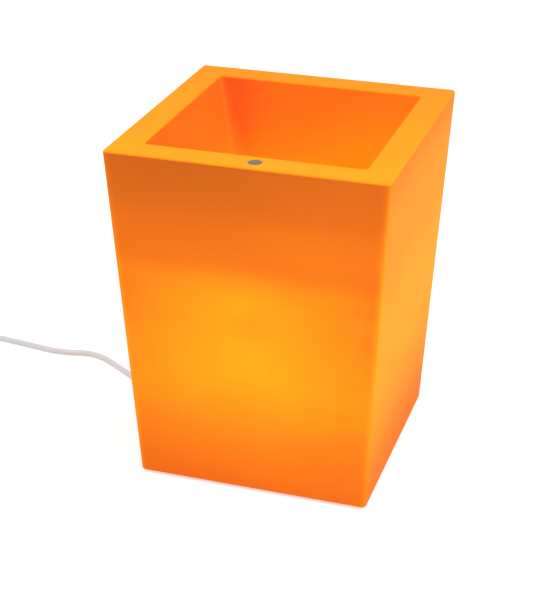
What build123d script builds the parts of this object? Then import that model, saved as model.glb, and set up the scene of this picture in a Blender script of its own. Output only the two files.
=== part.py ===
from build123d import *

import math
import os

# Lighted planter: a double-walled pot with a lamp between its walls and a mains lead.
# Millimetres, +Z up, origin on the floor under the middle of the pot, front face towards -Y.

# Pot: outer walls, rim and planting well in one moulding, and a base welded in between the walls
TOP_WIDTH = 310.0
BASE_WIDTH = 267.5
HEIGHT = 400.0
WALL = 5.0
RIM_WIDTH = 33.0
CORNER_RADIUS = 5.0
RIM_OUTER_RADIUS = 3.0
RIM_INNER_RADIUS = 3.0
BASE_EDGE_RADIUS = 3.0

# Planting well
WELL_DEPTH = 150.0
WELL_FLOOR_WIDTH = 160.0
WELL_TOP_CORNER = 6.0
WELL_FLOOR_CORNER = 26.0
WELL_FLOOR_RADIUS = 14.0

# Metal disc let into the front rim
DISC_RADIUS = 8.5
DISC_THICKNESS = 1.2
DISC_DEPTH = 0.6
DISC_OFFSET = 8.0
DISC_BACK_FROM_EDGE = 17.0
SPIGOT_RADIUS = 2.5
SPIGOT_LENGTH = 1.8

# Rubber feet
FOOT_RADIUS = 10.0
FOOT_HEIGHT = 4.5
FOOT_GAP = 2.0
FOOT_INSET = 26.0

# Base cover, a dished moulding that closes the opening under the pot
RECESS_RADIUS = 100.0
COVER_LIFT = 1.0
COVER_WALL = 3.0
DISH_RADIUS = 74.0
DISH_DROP = 17.5
COVER_LIP = 3.5
RIB_COUNT = 6
RIB_THICKNESS = 2.0
SWAGE_RADIUS = 60.0
SWAGE_WIDTH = 5.0
SWAGE_RISE = 1.2
GASKET_THICKNESS = 1.0
LEDGE_WIDTH = 20.0

# Screws and inserts of the cover
SCREW_COUNT = 6
SCREW_RADIUS = 2.0
SCREW_LENGTH = 12.0
SCREW_HEAD_RADIUS = 4.0
SCREW_HEAD_HEIGHT = 2.6
INSERT_RADIUS = 3.2
INSERT_LENGTH = 9.0
INSERT_BOSS_RADIUS = 7.0

# Cord, cable channel, grommet and cord clamp
CORD_RADIUS = 3.6
CHANNEL_WIDTH = 14.0
CHANNEL_HEADROOM = 2.4
CORD_LIFT = 9.5
PAD_THICKNESS = 2.0
PAD_WIDTH = 20.0
GROMMET_NECK_RADIUS = 5.2
GROMMET_FLANGE_RADIUS = 7.6
GROMMET_FLANGE = 2.5
GROMMET_LIP_RADIUS = 6.2
GROMMET_LIP = 2.0
GROMMET_SLEEVE = 15.5
CLAMP_X = 52.0
CLAMP_WIDTH = 10.0
CLAMP_THICKNESS = 3.0
CLAMP_SPACING = 18.0
CLAMP_SCREW_RADIUS = 1.5
CLAMP_SCREW_LENGTH = 9.0
CORD_TAIL_END = 26.0

# Lampholder and its bracket
BRACKET_WIDTH = 20.0
BRACKET_THICKNESS = 1.5
BRACKET_SPAN = 56.0
BRACKET_FOOT = 16.0
BRACKET_HEIGHT = 18.0
BOSS_HEIGHT = 4.0
BOSS_RADIUS = 5.0
BRACKET_SCREW_RADIUS = 1.75
BRACKET_SCREW_LENGTH = 6.0
NIPPLE_RADIUS = 5.0
NIPPLE_BORE = 3.5
NIPPLE_NUT_FLATS = 14.0
NIPPLE_NUT_HEIGHT = 3.0
HOLDER_NECK_RADIUS = 11.0
HOLDER_RADIUS = 18.0
HOLDER_WALL = 2.6
DOME_HEIGHT = 19.0
INSERT_BLOCK_HEIGHT = 9.0
BLOCK_STEP = 1.5
SKIRT_HEIGHT = 34.0
SKIRT_STEP = 1.6
SHELL_WALL = 0.5
CONTACT_HEIGHT = 5.0
TONGUE_WALL = 0.5
TONGUE_WIDTH = 5.0
TONGUE_FOOT = 9.0
TONGUE_BEND = 3.0
TONGUE_TIP = 5.0

# Lamp with a 27 mm screw cap
CAP_RADIUS = 13.0
CAP_WALL = 0.5
CAP_HEIGHT = 21.0
TIP_HEIGHT = 1.5
TIP_RADIUS = 4.8
INSULATOR_HEIGHT = 4.0
THREAD_PITCH = 3.629
LAMP_TURNS = 5
CAP_FLARE = 0.9
CAP_FLARE_HEIGHT = 3.0
NECK_RADIUS = 15.5
PLUG_IN_DEPTH = 6.0
BALLAST_RADIUS = 25.0
BALLAST_HEIGHT = 43.0
BALLAST_LIP = 3.0
TUBE_SEAT = 3.0
TUBE_RADIUS = 6.0
TUBE_LEG_GAP = 18.0
TUBE_RING = 14.0
TUBE_HEIGHT = 82.0
TUBE_COUNT = 3

# Wires inside the lampholder
WIRE_RADIUS = 1.1
WIRE_SPREAD = 1.9
TERMINAL_SPREAD = 6.0

# Switch on the cord
SWITCH_LENGTH = 66.0
SWITCH_WIDTH = 28.0
SWITCH_NOSE = 15.0
SWITCH_TOP = 18.0
SWITCH_AXIS = 7.6
SWITCH_SPLIT = 9.0
SWITCH_WALL = 2.0
ROCKER_LENGTH = 21.0
ROCKER_WIDTH = 11.0
ROCKER_RISE = 3.0
ROCKER_TILT = 7.0
WINDOW_END_GAP = 1.0
PIVOT_RADIUS = 1.5
PIVOT_DEPTH = 3.5
CASE_SCREW_RADIUS = 1.3
CASE_SCREW_HEAD_RADIUS = 2.3
CASE_SCREW_REACH = 6.0
CASE_SCREW_X = 21.0
CASE_SCREW_Y = 6.8
CASE_BOSS_RADIUS = 2.6
CONTACT_SHEET = 0.6
CONTACT_X = 7.0

# Two-pin plug
PLUG_LENGTH = 36.0
PLUG_WIDTH = 26.5
PLUG_TAIL_WIDTH = 14.0
PLUG_THICKNESS = 13.7
PLUG_TAIL_LENGTH = 20.0
PLUG_GROOVES = 4
PLUG_GROOVE = 1.2
PIN_RADIUS = 2.0
PIN_LENGTH = 19.0
PIN_SPACING = 18.6

# Coil that is put away
COIL_RADIUS = 47.0
COIL_PITCH = 7.8
COIL_LAYER = 7.8
HALF_TURNS_IN = 5
HALF_TURNS_OUT = 4

# Clearances
CLOSE_FIT = 0.1
LOOSE_FIT = 0.3
PIVOT_FIT = 0.06

# Heights that follow from the sizes above
BASE_Z = FOOT_GAP
COVER_Z = BASE_Z + COVER_LIFT
DISH_FLOOR_Z = COVER_Z + COVER_WALL
FLANGE_Z = COVER_Z + DISH_DROP
FLANGE_TOP_Z = FLANGE_Z + COVER_WALL
LEDGE_Z = FLANGE_TOP_Z + GASKET_THICKNESS
HOLE_RADIUS = RECESS_RADIUS - LEDGE_WIDTH
SCREW_CIRCLE = (RECESS_RADIUS + HOLE_RADIUS) / 2
CORD_Z = COVER_Z + CORD_LIFT
CHANNEL_TOP_Z = CORD_Z + CORD_RADIUS + CHANNEL_HEADROOM
BRACKET_Z = DISH_FLOOR_Z + BRACKET_HEIGHT
DOME_Z = BRACKET_Z + BRACKET_THICKNESS
DOME_TOP_Z = DOME_Z + DOME_HEIGHT
BLOCK_TOP_Z = DOME_TOP_Z + INSERT_BLOCK_HEIGHT / 2
TIP_Z = BLOCK_TOP_Z + CONTACT_HEIGHT
CAP_Z = TIP_Z + TIP_HEIGHT + INSULATOR_HEIGHT
CAP_TOP_Z = CAP_Z + CAP_HEIGHT
WELL_FLOOR_Z = HEIGHT - WELL_DEPTH
WELL_TOP_WIDTH = TOP_WIDTH - 2 * RIM_WIDTH

# Cord route, from the grommet out over the floor to the switch, chosen by hand
ROUTE_TO_SWITCH = [
    (-94.0, 0.0, 12.5),
    (-136.0, 0.0, 12.5),
    (-178.0, 29.0, 3.6),
    (-214.0, 56.5, 3.6),
    (-250.0, 82.0, 3.6),
    (-298.0, 111.5, 3.6),
    (-345.0, 98.5, 3.6),
    (-394.0, 106.0, 3.6),
    (-446.0, 112.5, 3.6),
    (-477.0, 111.0, 3.6),
    (-501.5, 96.5, 3.6),
    (-515.5, 72.5, 3.6),
    (-516.6, 47.0, 7.6),
    (-516.6, 25.0, 7.6),
]
ROUTE_TO_COIL = [
    (-516.6, -31.0, 7.6),
    (-516.6, -46.0, 7.6),
    (-516.6, -63.0, 3.6),
    (-516.6, -80.0, 3.6),
]
ROUTE_TO_PLUG = [
    (-454.6, -134.2, 11.4),
    (-441.0, -134.2, 11.4),
    (-424.0, -136.0, 6.85),
    (-410.0, -138.6, 6.85),
]


# Shared helpers


def ring(outer, inner, low, high):
    tube = Pos(0, 0, low) * Cylinder(outer, high - low, align=(Align.CENTER, Align.CENTER, Align.MIN))
    return tube - disc(inner, low, high)


def disc(radius, low, high):
    return Pos(0, 0, low) * Cylinder(radius, high - low, align=(Align.CENTER, Align.CENTER, Align.MIN))


def revolved(points):
    """A solid turned about Z from its half section, given as (radius, height) points."""
    section = make_face(Plane.XZ * Polyline(*points, close=True))
    return revolve(section, Axis.Z)


def hexagon(flats, low, high):
    return extrude(Pos(0, 0, low) * RegularPolygon(flats / 2, 6, major_radius=False), high - low)


def on_circle(radius, angle):
    return Pos(radius * math.cos(math.radians(angle)), radius * math.sin(math.radians(angle)), 0)


def towards_left(x, z):
    """Stands a piece that is drawn up +Z on the point (x, 0, z), so that its top points to -X."""
    return Pos(x, 0, z) * Rot(0, -90, 0)


def tapered_block(low_z, low_width, high_z, high_width, corner):
    """A square block with flat leaning sides and corners of one radius."""
    turns = [(-1, -1), (1, -1), (1, 1), (-1, 1)]
    low = [Vector(x * low_width / 2, y * low_width / 2, low_z) for x, y in turns]
    high = [Vector(x * high_width / 2, y * high_width / 2, high_z) for x, y in turns]
    sides = [[low[n - 1], low[n], high[n], high[n - 1]] for n in range(4)]
    faces = [Face(Wire.make_polygon(points)) for points in [low, high] + sides]
    block = Solid(Shell(faces))
    upright = [edge for edge in block.edges() if edge.bounding_box().size.Z > 1]
    return Part(fillet(upright, corner).wrapped)


def edges_at(shape, z):
    return shape.edges().filter_by_position(Axis.Z, z - 0.01, z + 0.01)


def pot_width(z):
    return BASE_WIDTH + (TOP_WIDTH - BASE_WIDTH) * z / HEIGHT


def well_width(z):
    return WELL_FLOOR_WIDTH + (WELL_TOP_WIDTH - WELL_FLOOR_WIDTH) * (z - WELL_FLOOR_Z) / WELL_DEPTH


# Pot


def pot_outside():
    block = tapered_block(BASE_Z, pot_width(BASE_Z), HEIGHT, TOP_WIDTH, CORNER_RADIUS)
    block = fillet(edges_at(block, HEIGHT), RIM_OUTER_RADIUS)
    return fillet(edges_at(block, BASE_Z), BASE_EDGE_RADIUS)


def well_form(skin):
    """The planting well as a solid, grown by the thickness of a skin, its corners widening downwards."""
    slope = math.atan2((WELL_TOP_WIDTH - WELL_FLOOR_WIDTH) / 2, WELL_DEPTH)
    grow = 2 * skin / math.cos(slope)
    low_z = WELL_FLOOR_Z - skin
    low_width = well_width(low_z) + grow
    high_width = WELL_TOP_WIDTH + grow
    low = Plane.XY.offset(low_z) * RectangleRounded(low_width, low_width, WELL_FLOOR_CORNER + skin)
    high = Plane.XY.offset(HEIGHT) * RectangleRounded(high_width, high_width, WELL_TOP_CORNER + skin)
    block = Part(Solid.make_loft([low.face().outer_wire(), high.face().outer_wire()], ruled=True).wrapped)
    return fillet(edges_at(block, low_z), WELL_FLOOR_RADIUS + skin)


def cover_angles():
    return [360 / SCREW_COUNT * (number + 0.5) for number in range(SCREW_COUNT)]


def foot_places():
    reach = BASE_WIDTH / 2 - FOOT_INSET
    return [Pos(x, y, 0) for x in (-reach, reach) for y in (-reach, reach)]


def channel(skin):
    """The straight cable channel from the middle of the pot to its left side, arched at the top."""
    length = pot_width(0) / 2 + WALL
    half = CHANNEL_WIDTH / 2 + skin
    arch_z = CHANNEL_TOP_Z - CHANNEL_WIDTH / 2
    arch = towards_left(0, arch_z) * disc(half, 0, length)
    slot = Pos(-length / 2, 0, arch_z / 2) * Box(length, 2 * half, arch_z)
    return arch + slot


def inside_walls(low_z, high_z):
    """The space between the outer walls, from one height to another."""
    low_width = pot_width(low_z) - 2 * WALL
    high_width = pot_width(high_z) - 2 * WALL
    return tapered_block(low_z, low_width, high_z, high_width, CORNER_RADIUS - WALL / 2)


def planter_shell():
    """Outer walls, rim and well, hollow between them and open at the foot."""
    pot = pot_outside() - well_form(0)
    inside = WELL_TOP_WIDTH / 2 + RIM_INNER_RADIUS
    middles = [(edge, edge.center()) for edge in edges_at(pot, HEIGHT)]
    mouth = [edge for edge, middle in middles if max(abs(middle.X), abs(middle.Y)) < inside]
    seat = HEIGHT - DISC_DEPTH - DISC_THICKNESS
    pot = fillet(mouth, RIM_INNER_RADIUS) - (inside_walls(0, HEIGHT - WALL) - well_form(WALL))
    pot -= channel(0)
    pot -= disc_place() * disc(DISC_RADIUS + CLOSE_FIT, seat, HEIGHT)
    return pot - disc_place() * disc(SPIGOT_RADIUS + CLOSE_FIT, seat - SPIGOT_LENGTH - CLOSE_FIT, seat)


def pot_base():
    """Floor of the pot with the recess for the cover, the cable channel, foot sockets and insert bosses."""
    socket_z = BASE_Z + FOOT_HEIGHT - FOOT_GAP
    boss_z = LEDGE_Z + SCREW_LENGTH
    base = inside_walls(BASE_Z, BASE_Z + WALL)
    base += disc(RECESS_RADIUS + WALL, BASE_Z, LEDGE_Z + WALL)
    base += channel(WALL) & inside_walls(BASE_Z, CHANNEL_TOP_Z + 2 * WALL)
    cuts = [disc(RECESS_RADIUS, 0, LEDGE_Z), disc(HOLE_RADIUS, 0, boss_z), channel(0)]
    for place in foot_places():
        base += place * disc(FOOT_RADIUS + WALL, BASE_Z, socket_z + WALL)
        cuts.append(place * disc(FOOT_RADIUS + CLOSE_FIT, 0, socket_z))
    for angle in cover_angles():
        place = on_circle(SCREW_CIRCLE, angle)
        base += place * disc(INSERT_BOSS_RADIUS, LEDGE_Z, boss_z + WALL)
        cuts.append(place * disc(INSERT_RADIUS, LEDGE_Z, LEDGE_Z + INSERT_LENGTH))
        cuts.append(place * disc(SCREW_RADIUS + LOOSE_FIT, LEDGE_Z, boss_z))
    for cut in cuts:
        base -= cut
    return base


def disc_place():
    return Pos(DISC_OFFSET, DISC_BACK_FROM_EDGE - TOP_WIDTH / 2, 0)


def rim_disc():
    low = HEIGHT - DISC_DEPTH - DISC_THICKNESS
    plate = disc(DISC_RADIUS, low, low + DISC_THICKNESS)
    plate = chamfer(edges_at(plate, low + DISC_THICKNESS), DISC_THICKNESS / 4)
    return disc_place() * (plate + disc(SPIGOT_RADIUS, low - SPIGOT_LENGTH, low))


def rubber_feet():
    top = BASE_Z + FOOT_HEIGHT - FOOT_GAP
    foot = disc(FOOT_RADIUS, 0, top)
    foot = fillet(edges_at(foot, 0), FOOT_GAP / 2)
    return Compound(children=[place * foot for place in foot_places()])


# Cover under the pot


def base_cover():
    cover = cover_dish()
    for angle in rib_angles():
        cover += Rot(0, 0, angle) * cover_rib()
    cover += grommet_pad()
    cover += Pos(-CLAMP_X, 0, 0) * clamp_saddle()
    for place in clamp_screw_places():
        cover += place * disc(clamp_boss_radius(), DISH_FLOOR_Z, CORD_Z + CLOSE_FIT)
        cover -= place * disc(CLAMP_SCREW_RADIUS, clamp_top() - CLAMP_SCREW_LENGTH, CORD_Z + CLOSE_FIT)
    boss_top = DISH_FLOOR_Z + BOSS_HEIGHT
    for place in bracket_screw_places():
        cover += place * disc(BOSS_RADIUS, DISH_FLOOR_Z, boss_top)
        cover -= place * disc(BRACKET_SCREW_RADIUS, boss_top - BRACKET_SCREW_LENGTH, boss_top)
    for angle in cover_angles():
        cover -= on_circle(SCREW_CIRCLE, angle) * disc(SCREW_RADIUS + LOOSE_FIT, FLANGE_Z, FLANGE_TOP_Z)
    depth = pad_x() - pad_inner_x()
    hole = disc(GROMMET_NECK_RADIUS + CLOSE_FIT, -CLOSE_FIT, depth + CLOSE_FIT)
    return cover - towards_left(-pad_inner_x(), CORD_Z) * hole


def cover_dish():
    """Dish, flange and turned-down lip in one turning, with a ring pressed up in the floor."""
    dish = DISH_RADIUS
    outer = RECESS_RADIUS - LOOSE_FIT
    lip_z = FLANGE_Z - COVER_LIP
    cover = revolved([
        (0, COVER_Z), (dish, COVER_Z), (dish, FLANGE_Z), (outer - COVER_WALL, FLANGE_Z),
        (outer - COVER_WALL, lip_z), (outer, lip_z), (outer, FLANGE_TOP_Z),
        (dish - COVER_WALL, FLANGE_TOP_Z), (dish - COVER_WALL, DISH_FLOOR_Z), (0, DISH_FLOOR_Z),
    ])
    cover = fillet(edges_at(cover, COVER_Z) + edges_at(cover, DISH_FLOOR_Z), COVER_WALL / 2)
    inside = SWAGE_RADIUS - SWAGE_WIDTH / 2
    outside = SWAGE_RADIUS + SWAGE_WIDTH / 2
    cover += ring(outside, inside, DISH_FLOOR_Z, DISH_FLOOR_Z + SWAGE_RISE)
    return cover - ring(outside, inside, COVER_Z, COVER_Z + SWAGE_RISE)


def rib_angles():
    """Ribs half way between the screws, but none where the cord leaves the dish."""
    angles = [360 / RIB_COUNT * number for number in range(RIB_COUNT)]
    return [angle for angle in angles if abs(angle - 180) > 1]


def cover_rib():
    """A rib under the flange that runs from inside the dish wall to inside the lip."""
    inner = DISH_RADIUS - COVER_WALL / 2
    length = RECESS_RADIUS - LOOSE_FIT - COVER_WALL / 2 - inner
    return Pos(inner + length / 2, 0, FLANGE_Z - COVER_LIP / 2) * Box(length, RIB_THICKNESS, COVER_LIP)


def pad_x():
    return DISH_RADIUS + PAD_THICKNESS


def pad_inner_x():
    return DISH_RADIUS - COVER_WALL - PAD_THICKNESS


def grommet_pad():
    """A flat-faced thickening of the dish wall that the grommet snaps into."""
    depth = pad_x() - pad_inner_x()
    height = FLANGE_Z - COVER_Z
    return Pos(-pad_x() + depth / 2, 0, COVER_Z + height / 2) * Box(depth, PAD_WIDTH, height)


def clamp_saddle():
    """The step under the cord that the clamp presses it onto."""
    rise = CORD_Z - CORD_RADIUS - DISH_FLOOR_Z
    return Pos(0, 0, DISH_FLOOR_Z + rise / 2) * Box(CLAMP_WIDTH, 2 * CORD_RADIUS, rise)


def clamp_boss_radius():
    return CLAMP_SPACING / 2 - CORD_RADIUS - 2 * LOOSE_FIT - 1


def clamp_screw_places():
    return [Pos(-CLAMP_X, side * CLAMP_SPACING / 2, 0) for side in (-1, 1)]


def clamp_top():
    return CORD_Z + CORD_RADIUS + CLAMP_THICKNESS


def bracket_screw_places():
    return [Pos(0, side * bracket_screw_y(), 0) for side in (-1, 1)]


def bracket_screw_y():
    return BRACKET_SPAN / 2 + BRACKET_FOOT / 2


def cover_gasket():
    gasket = ring(RECESS_RADIUS - LOOSE_FIT, HOLE_RADIUS + LOOSE_FIT, FLANGE_TOP_Z, LEDGE_Z)
    for angle in cover_angles():
        gasket -= on_circle(SCREW_CIRCLE, angle) * disc(SCREW_RADIUS + LOOSE_FIT, FLANGE_TOP_Z, LEDGE_Z)
    return gasket


def cover_inserts():
    insert = ring(INSERT_RADIUS, SCREW_RADIUS, LEDGE_Z, LEDGE_Z + INSERT_LENGTH)
    return Compound(children=[on_circle(SCREW_CIRCLE, angle) * insert for angle in cover_angles()])


def cover_screws():
    head = disc(SCREW_HEAD_RADIUS, FLANGE_Z - SCREW_HEAD_HEIGHT, FLANGE_Z)
    head = fillet(edges_at(head, FLANGE_Z - SCREW_HEAD_HEIGHT), SCREW_HEAD_HEIGHT / 2)
    screw = head + disc(SCREW_RADIUS, FLANGE_Z, FLANGE_Z + SCREW_LENGTH)
    return Compound(children=[on_circle(SCREW_CIRCLE, angle) * screw for angle in cover_angles()])


# Where the cord enters: grommet, clamp and the stretch of cord inside the dish


def cord_grommet():
    """Drawn up the cord, its shoulder against the pad at height 0, with a tapered sleeve."""
    wall = pad_x() - pad_inner_x() + CLOSE_FIT
    bore = CORD_RADIUS + CLOSE_FIT
    end = GROMMET_FLANGE + GROMMET_SLEEVE
    grommet = revolved([
        (bore, -wall - GROMMET_LIP), (GROMMET_NECK_RADIUS, -wall - GROMMET_LIP), (GROMMET_LIP_RADIUS, -wall),
        (GROMMET_NECK_RADIUS, -wall), (GROMMET_NECK_RADIUS, 0), (GROMMET_FLANGE_RADIUS, 0),
        (GROMMET_FLANGE_RADIUS, GROMMET_FLANGE), (bore + 2, GROMMET_FLANGE), (bore + 1, end), (bore, end),
    ])
    return towards_left(-pad_x(), CORD_Z) * grommet


def cord_clamp():
    low = CORD_Z + 2 * CLOSE_FIT
    length = CLAMP_SPACING + 2 * clamp_boss_radius()
    clamp = Pos(0, 0, (low + clamp_top()) / 2) * Box(CLAMP_WIDTH, length, clamp_top() - low)
    clamp = Pos(-CLAMP_X, 0, 0) * fillet(clamp.edges().filter_by(Axis.Z), CLAMP_WIDTH / 4)
    clamp -= towards_left(0, CORD_Z) * disc(CORD_RADIUS + CLOSE_FIT, 0, CLAMP_X + CLAMP_WIDTH)
    for place in clamp_screw_places():
        clamp -= place * disc(CLAMP_SCREW_RADIUS + CLOSE_FIT, low, clamp_top())
    return clamp


def clamp_screws():
    top = clamp_top()
    head = disc(CLAMP_SCREW_RADIUS * 1.8, top, top + CLAMP_SCREW_RADIUS * 1.2)
    head = fillet(edges_at(head, top + CLAMP_SCREW_RADIUS * 1.2), CLAMP_SCREW_RADIUS / 2)
    screw = head + disc(CLAMP_SCREW_RADIUS, top - CLAMP_SCREW_LENGTH + CLOSE_FIT, top)
    return Compound(children=[place * screw for place in clamp_screw_places()])


def cord_tail():
    """The stretch of cord that runs from the end of the grommet's sleeve into the dish."""
    start = -ROUTE_TO_SWITCH[0][0]
    return towards_left(-CORD_TAIL_END, CORD_Z) * disc(CORD_RADIUS, 0, start - CORD_TAIL_END)


# Lampholder


def holder_bracket():
    low = DISH_FLOOR_Z + BOSS_HEIGHT
    half = BRACKET_SPAN / 2
    line = Polyline(
        (half + BRACKET_FOOT, low), (half, low), (half, BRACKET_Z), (-half, BRACKET_Z),
        (-half, low), (-half - BRACKET_FOOT, low),
    )
    inner = Polyline(
        (-half - BRACKET_FOOT, low + BRACKET_THICKNESS), (-half - BRACKET_THICKNESS, low + BRACKET_THICKNESS),
        (-half - BRACKET_THICKNESS, DOME_Z), (half + BRACKET_THICKNESS, DOME_Z),
        (half + BRACKET_THICKNESS, low + BRACKET_THICKNESS), (half + BRACKET_FOOT, low + BRACKET_THICKNESS),
    )
    ends = [Line(line @ 1, inner @ 0), Line(inner @ 1, line @ 0)]
    section = make_face(Curve() + [line, ends[0], inner, ends[1]])
    strip = extrude(Plane.YZ.offset(-BRACKET_WIDTH / 2) * section, BRACKET_WIDTH)
    strip -= disc(NIPPLE_RADIUS + CLOSE_FIT, BRACKET_Z, DOME_Z)
    for place in bracket_screw_places():
        strip -= place * disc(BRACKET_SCREW_RADIUS + LOOSE_FIT, low, low + BRACKET_THICKNESS)
    return strip


def bracket_screws():
    seat = DISH_FLOOR_Z + BOSS_HEIGHT
    top = seat + BRACKET_THICKNESS
    head = disc(BRACKET_SCREW_RADIUS * 2, top, top + BRACKET_SCREW_RADIUS)
    head = fillet(edges_at(head, top + BRACKET_SCREW_RADIUS), BRACKET_SCREW_RADIUS / 2)
    screw = head + disc(BRACKET_SCREW_RADIUS, seat - BRACKET_SCREW_LENGTH + CLOSE_FIT, top)
    return Compound(children=[place * screw for place in bracket_screw_places()])


def nipple_low():
    return BRACKET_Z - NIPPLE_NUT_HEIGHT - 2


def nipple_high():
    return DOME_Z + HOLDER_WALL + 2


def holder_nipple():
    return ring(NIPPLE_RADIUS, NIPPLE_BORE, nipple_low(), nipple_high())


def nipple_nut():
    nut = hexagon(NIPPLE_NUT_FLATS, BRACKET_Z - NIPPLE_NUT_HEIGHT, BRACKET_Z)
    return nut - disc(NIPPLE_RADIUS + CLOSE_FIT, BRACKET_Z - NIPPLE_NUT_HEIGHT, BRACKET_Z)


def block_radius():
    return HOLDER_RADIUS - HOLDER_WALL - CLOSE_FIT


def block_low():
    return BLOCK_TOP_Z - INSERT_BLOCK_HEIGHT


def holder_dome():
    neck = HOLDER_NECK_RADIUS
    outer = HOLDER_RADIUS
    inner = outer - HOLDER_WALL
    collar = DOME_Z + DOME_HEIGHT * 0.25
    shoulder = DOME_Z + DOME_HEIGHT * 0.65
    dome = revolved([
        (NIPPLE_RADIUS + CLOSE_FIT, DOME_Z), (neck, DOME_Z), (neck, collar), (outer, shoulder),
        (outer, DOME_TOP_Z), (inner, DOME_TOP_Z), (inner, block_low()), (inner - BLOCK_STEP, block_low()),
        (inner - BLOCK_STEP, shoulder), (neck - HOLDER_WALL, collar + HOLDER_WALL / 2),
        (neck - HOLDER_WALL, DOME_Z + HOLDER_WALL), (NIPPLE_RADIUS + CLOSE_FIT, DOME_Z + HOLDER_WALL),
    ])
    return dome


def terminal_places():
    return [Pos(0, side * TERMINAL_SPREAD, 0) for side in (-1, 1)]


def holder_block():
    block = disc(block_radius(), block_low(), BLOCK_TOP_Z)
    for place in terminal_places():
        block -= place * disc(WIRE_RADIUS + CLOSE_FIT, block_low(), block_low() + 3)
    return block


def holder_skirt():
    outer = HOLDER_RADIUS
    inner = CAP_RADIUS + 2 * LOOSE_FIT + SHELL_WALL
    wide = HOLDER_RADIUS - HOLDER_WALL
    low = DOME_TOP_Z
    high = low + SKIRT_HEIGHT
    skirt = revolved([
        (wide, low), (outer, low), (outer, low + SKIRT_HEIGHT * 0.3),
        (outer - SKIRT_STEP, low + SKIRT_HEIGHT * 0.36), (outer - SKIRT_STEP, high),
        (inner, high), (inner, BLOCK_TOP_Z), (wide, BLOCK_TOP_Z),
    ])
    return skirt


def screw_shell():
    bore = CAP_RADIUS + LOOSE_FIT
    return ring(bore + SHELL_WALL, bore, BLOCK_TOP_Z, BLOCK_TOP_Z + SKIRT_HEIGHT - INSERT_BLOCK_HEIGHT)


def centre_contact():
    """A folded brass tongue that springs up against the tip of the lamp."""
    sheet = TONGUE_WALL
    base = BLOCK_TOP_Z
    top = TIP_Z - CLOSE_FIT
    foot, bend, tip = TONGUE_FOOT, TONGUE_BEND, TONGUE_TIP
    crest = tip - bend
    outline = Polyline(
        (-foot, base), (-bend, base), (crest, top - sheet), (tip, top - sheet), (tip, top),
        (crest - sheet, top), (-bend - sheet, base + sheet), (-foot, base + sheet), close=True,
    )
    return extrude(Plane.XZ.offset(-TONGUE_WIDTH / 2) * make_face(outline), TONGUE_WIDTH)


def lamp_wires(side):
    near = side * WIRE_SPREAD
    far = side * TERMINAL_SPREAD
    top = nipple_high()
    line = FilletPolyline(
        (-CORD_TAIL_END, near, CORD_Z), (0, near, CORD_Z), (0, near, top),
        (0, far, block_low() - 2), (0, far, block_low() + 3 - CLOSE_FIT),
        radius=[WIRE_RADIUS * 4, WIRE_RADIUS * 2, WIRE_RADIUS * 1.2],
    )
    return sweep(Plane(origin=line @ 0, z_dir=line % 0) * Circle(WIRE_RADIUS), line)


# Lamp


def lamp_cap():
    outer = CAP_RADIUS
    inner = outer - CAP_WALL
    flare_z = CAP_TOP_Z - CAP_FLARE_HEIGHT
    return revolved([
        (inner, CAP_Z), (outer, CAP_Z), (outer, flare_z), (outer + CAP_FLARE, CAP_TOP_Z),
        (outer + CAP_FLARE - CAP_WALL, CAP_TOP_Z), (inner, flare_z),
    ])


def cap_insulator():
    low = CAP_Z - INSULATOR_HEIGHT
    high = CAP_Z + INSULATOR_HEIGHT / 2
    inner = CAP_RADIUS - CAP_WALL
    shoulder = (inner - CAP_FLARE_HEIGHT / 2, CAP_Z)
    return revolved([(0, low), (TIP_RADIUS, low), shoulder, (inner, CAP_Z), (inner, high), (0, high)])


def cap_tip():
    tip = disc(TIP_RADIUS, TIP_Z, TIP_Z + TIP_HEIGHT)
    return fillet(edges_at(tip, TIP_Z), TIP_HEIGHT / 3)


def ballast_housing():
    low = CAP_TOP_Z + LOOSE_FIT
    high = low + BALLAST_HEIGHT
    plug = CAP_RADIUS - CAP_WALL - LOOSE_FIT
    plug_z = CAP_TOP_Z - PLUG_IN_DEPTH
    lip = BALLAST_LIP
    housing = revolved([
        (0, plug_z), (plug, plug_z), (plug, low), (NECK_RADIUS, low),
        (NECK_RADIUS + lip / 2, low + lip), (BALLAST_RADIUS, low + BALLAST_HEIGHT * 0.4),
        (BALLAST_RADIUS, high - lip), (BALLAST_RADIUS - lip / 2, high), (0, high),
    ])
    for leg in tube_legs():
        housing -= leg * disc(TUBE_RADIUS + CLOSE_FIT, high - TUBE_SEAT, high)
    return housing


def tube_turns():
    return [Rot(0, 0, 360 / TUBE_COUNT * number) * Pos(TUBE_RING, 0, 0) for number in range(TUBE_COUNT)]


def tube_legs():
    return [turn * Pos(0, side * TUBE_LEG_GAP / 2, 0) for turn in tube_turns() for side in (-1, 1)]


def lamp_tubes():
    """Three bent glass tubes, each with two legs and a half-round top."""
    seat = CAP_TOP_Z + LOOSE_FIT + BALLAST_HEIGHT
    low = seat - TUBE_SEAT
    bend = TUBE_LEG_GAP / 2
    straight = seat + TUBE_HEIGHT - bend - TUBE_RADIUS
    leg = Line((0, -bend, low), (0, -bend, straight))
    arch = ThreePointArc((0, -bend, straight), (0, 0, straight + bend), (0, bend, straight))
    back = Line((0, bend, straight), (0, bend, low))
    path = leg + arch + back
    tube = sweep(Plane(origin=(0, -bend, low)) * Circle(TUBE_RADIUS), path)
    return Compound(children=[turn * tube for turn in tube_turns()])


# Switch on the cord, drawn along +X with the cord's axis at height SWITCH_AXIS over the floor


def switch_outline(grow):
    half = SWITCH_LENGTH / 2 + grow
    wide = SWITCH_WIDTH / 2 + grow
    nose = SWITCH_NOSE / 2 + grow
    waist = SWITCH_LENGTH / 4
    corners = [(-half, -nose), (-waist, -wide), (waist, -wide), (half, -nose),
               (half, nose), (waist, wide), (-waist, wide), (-half, nose)]
    outline = make_face(Polyline(*corners, close=True))
    return fillet(outline.vertices(), SWITCH_NOSE / 4)


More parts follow.
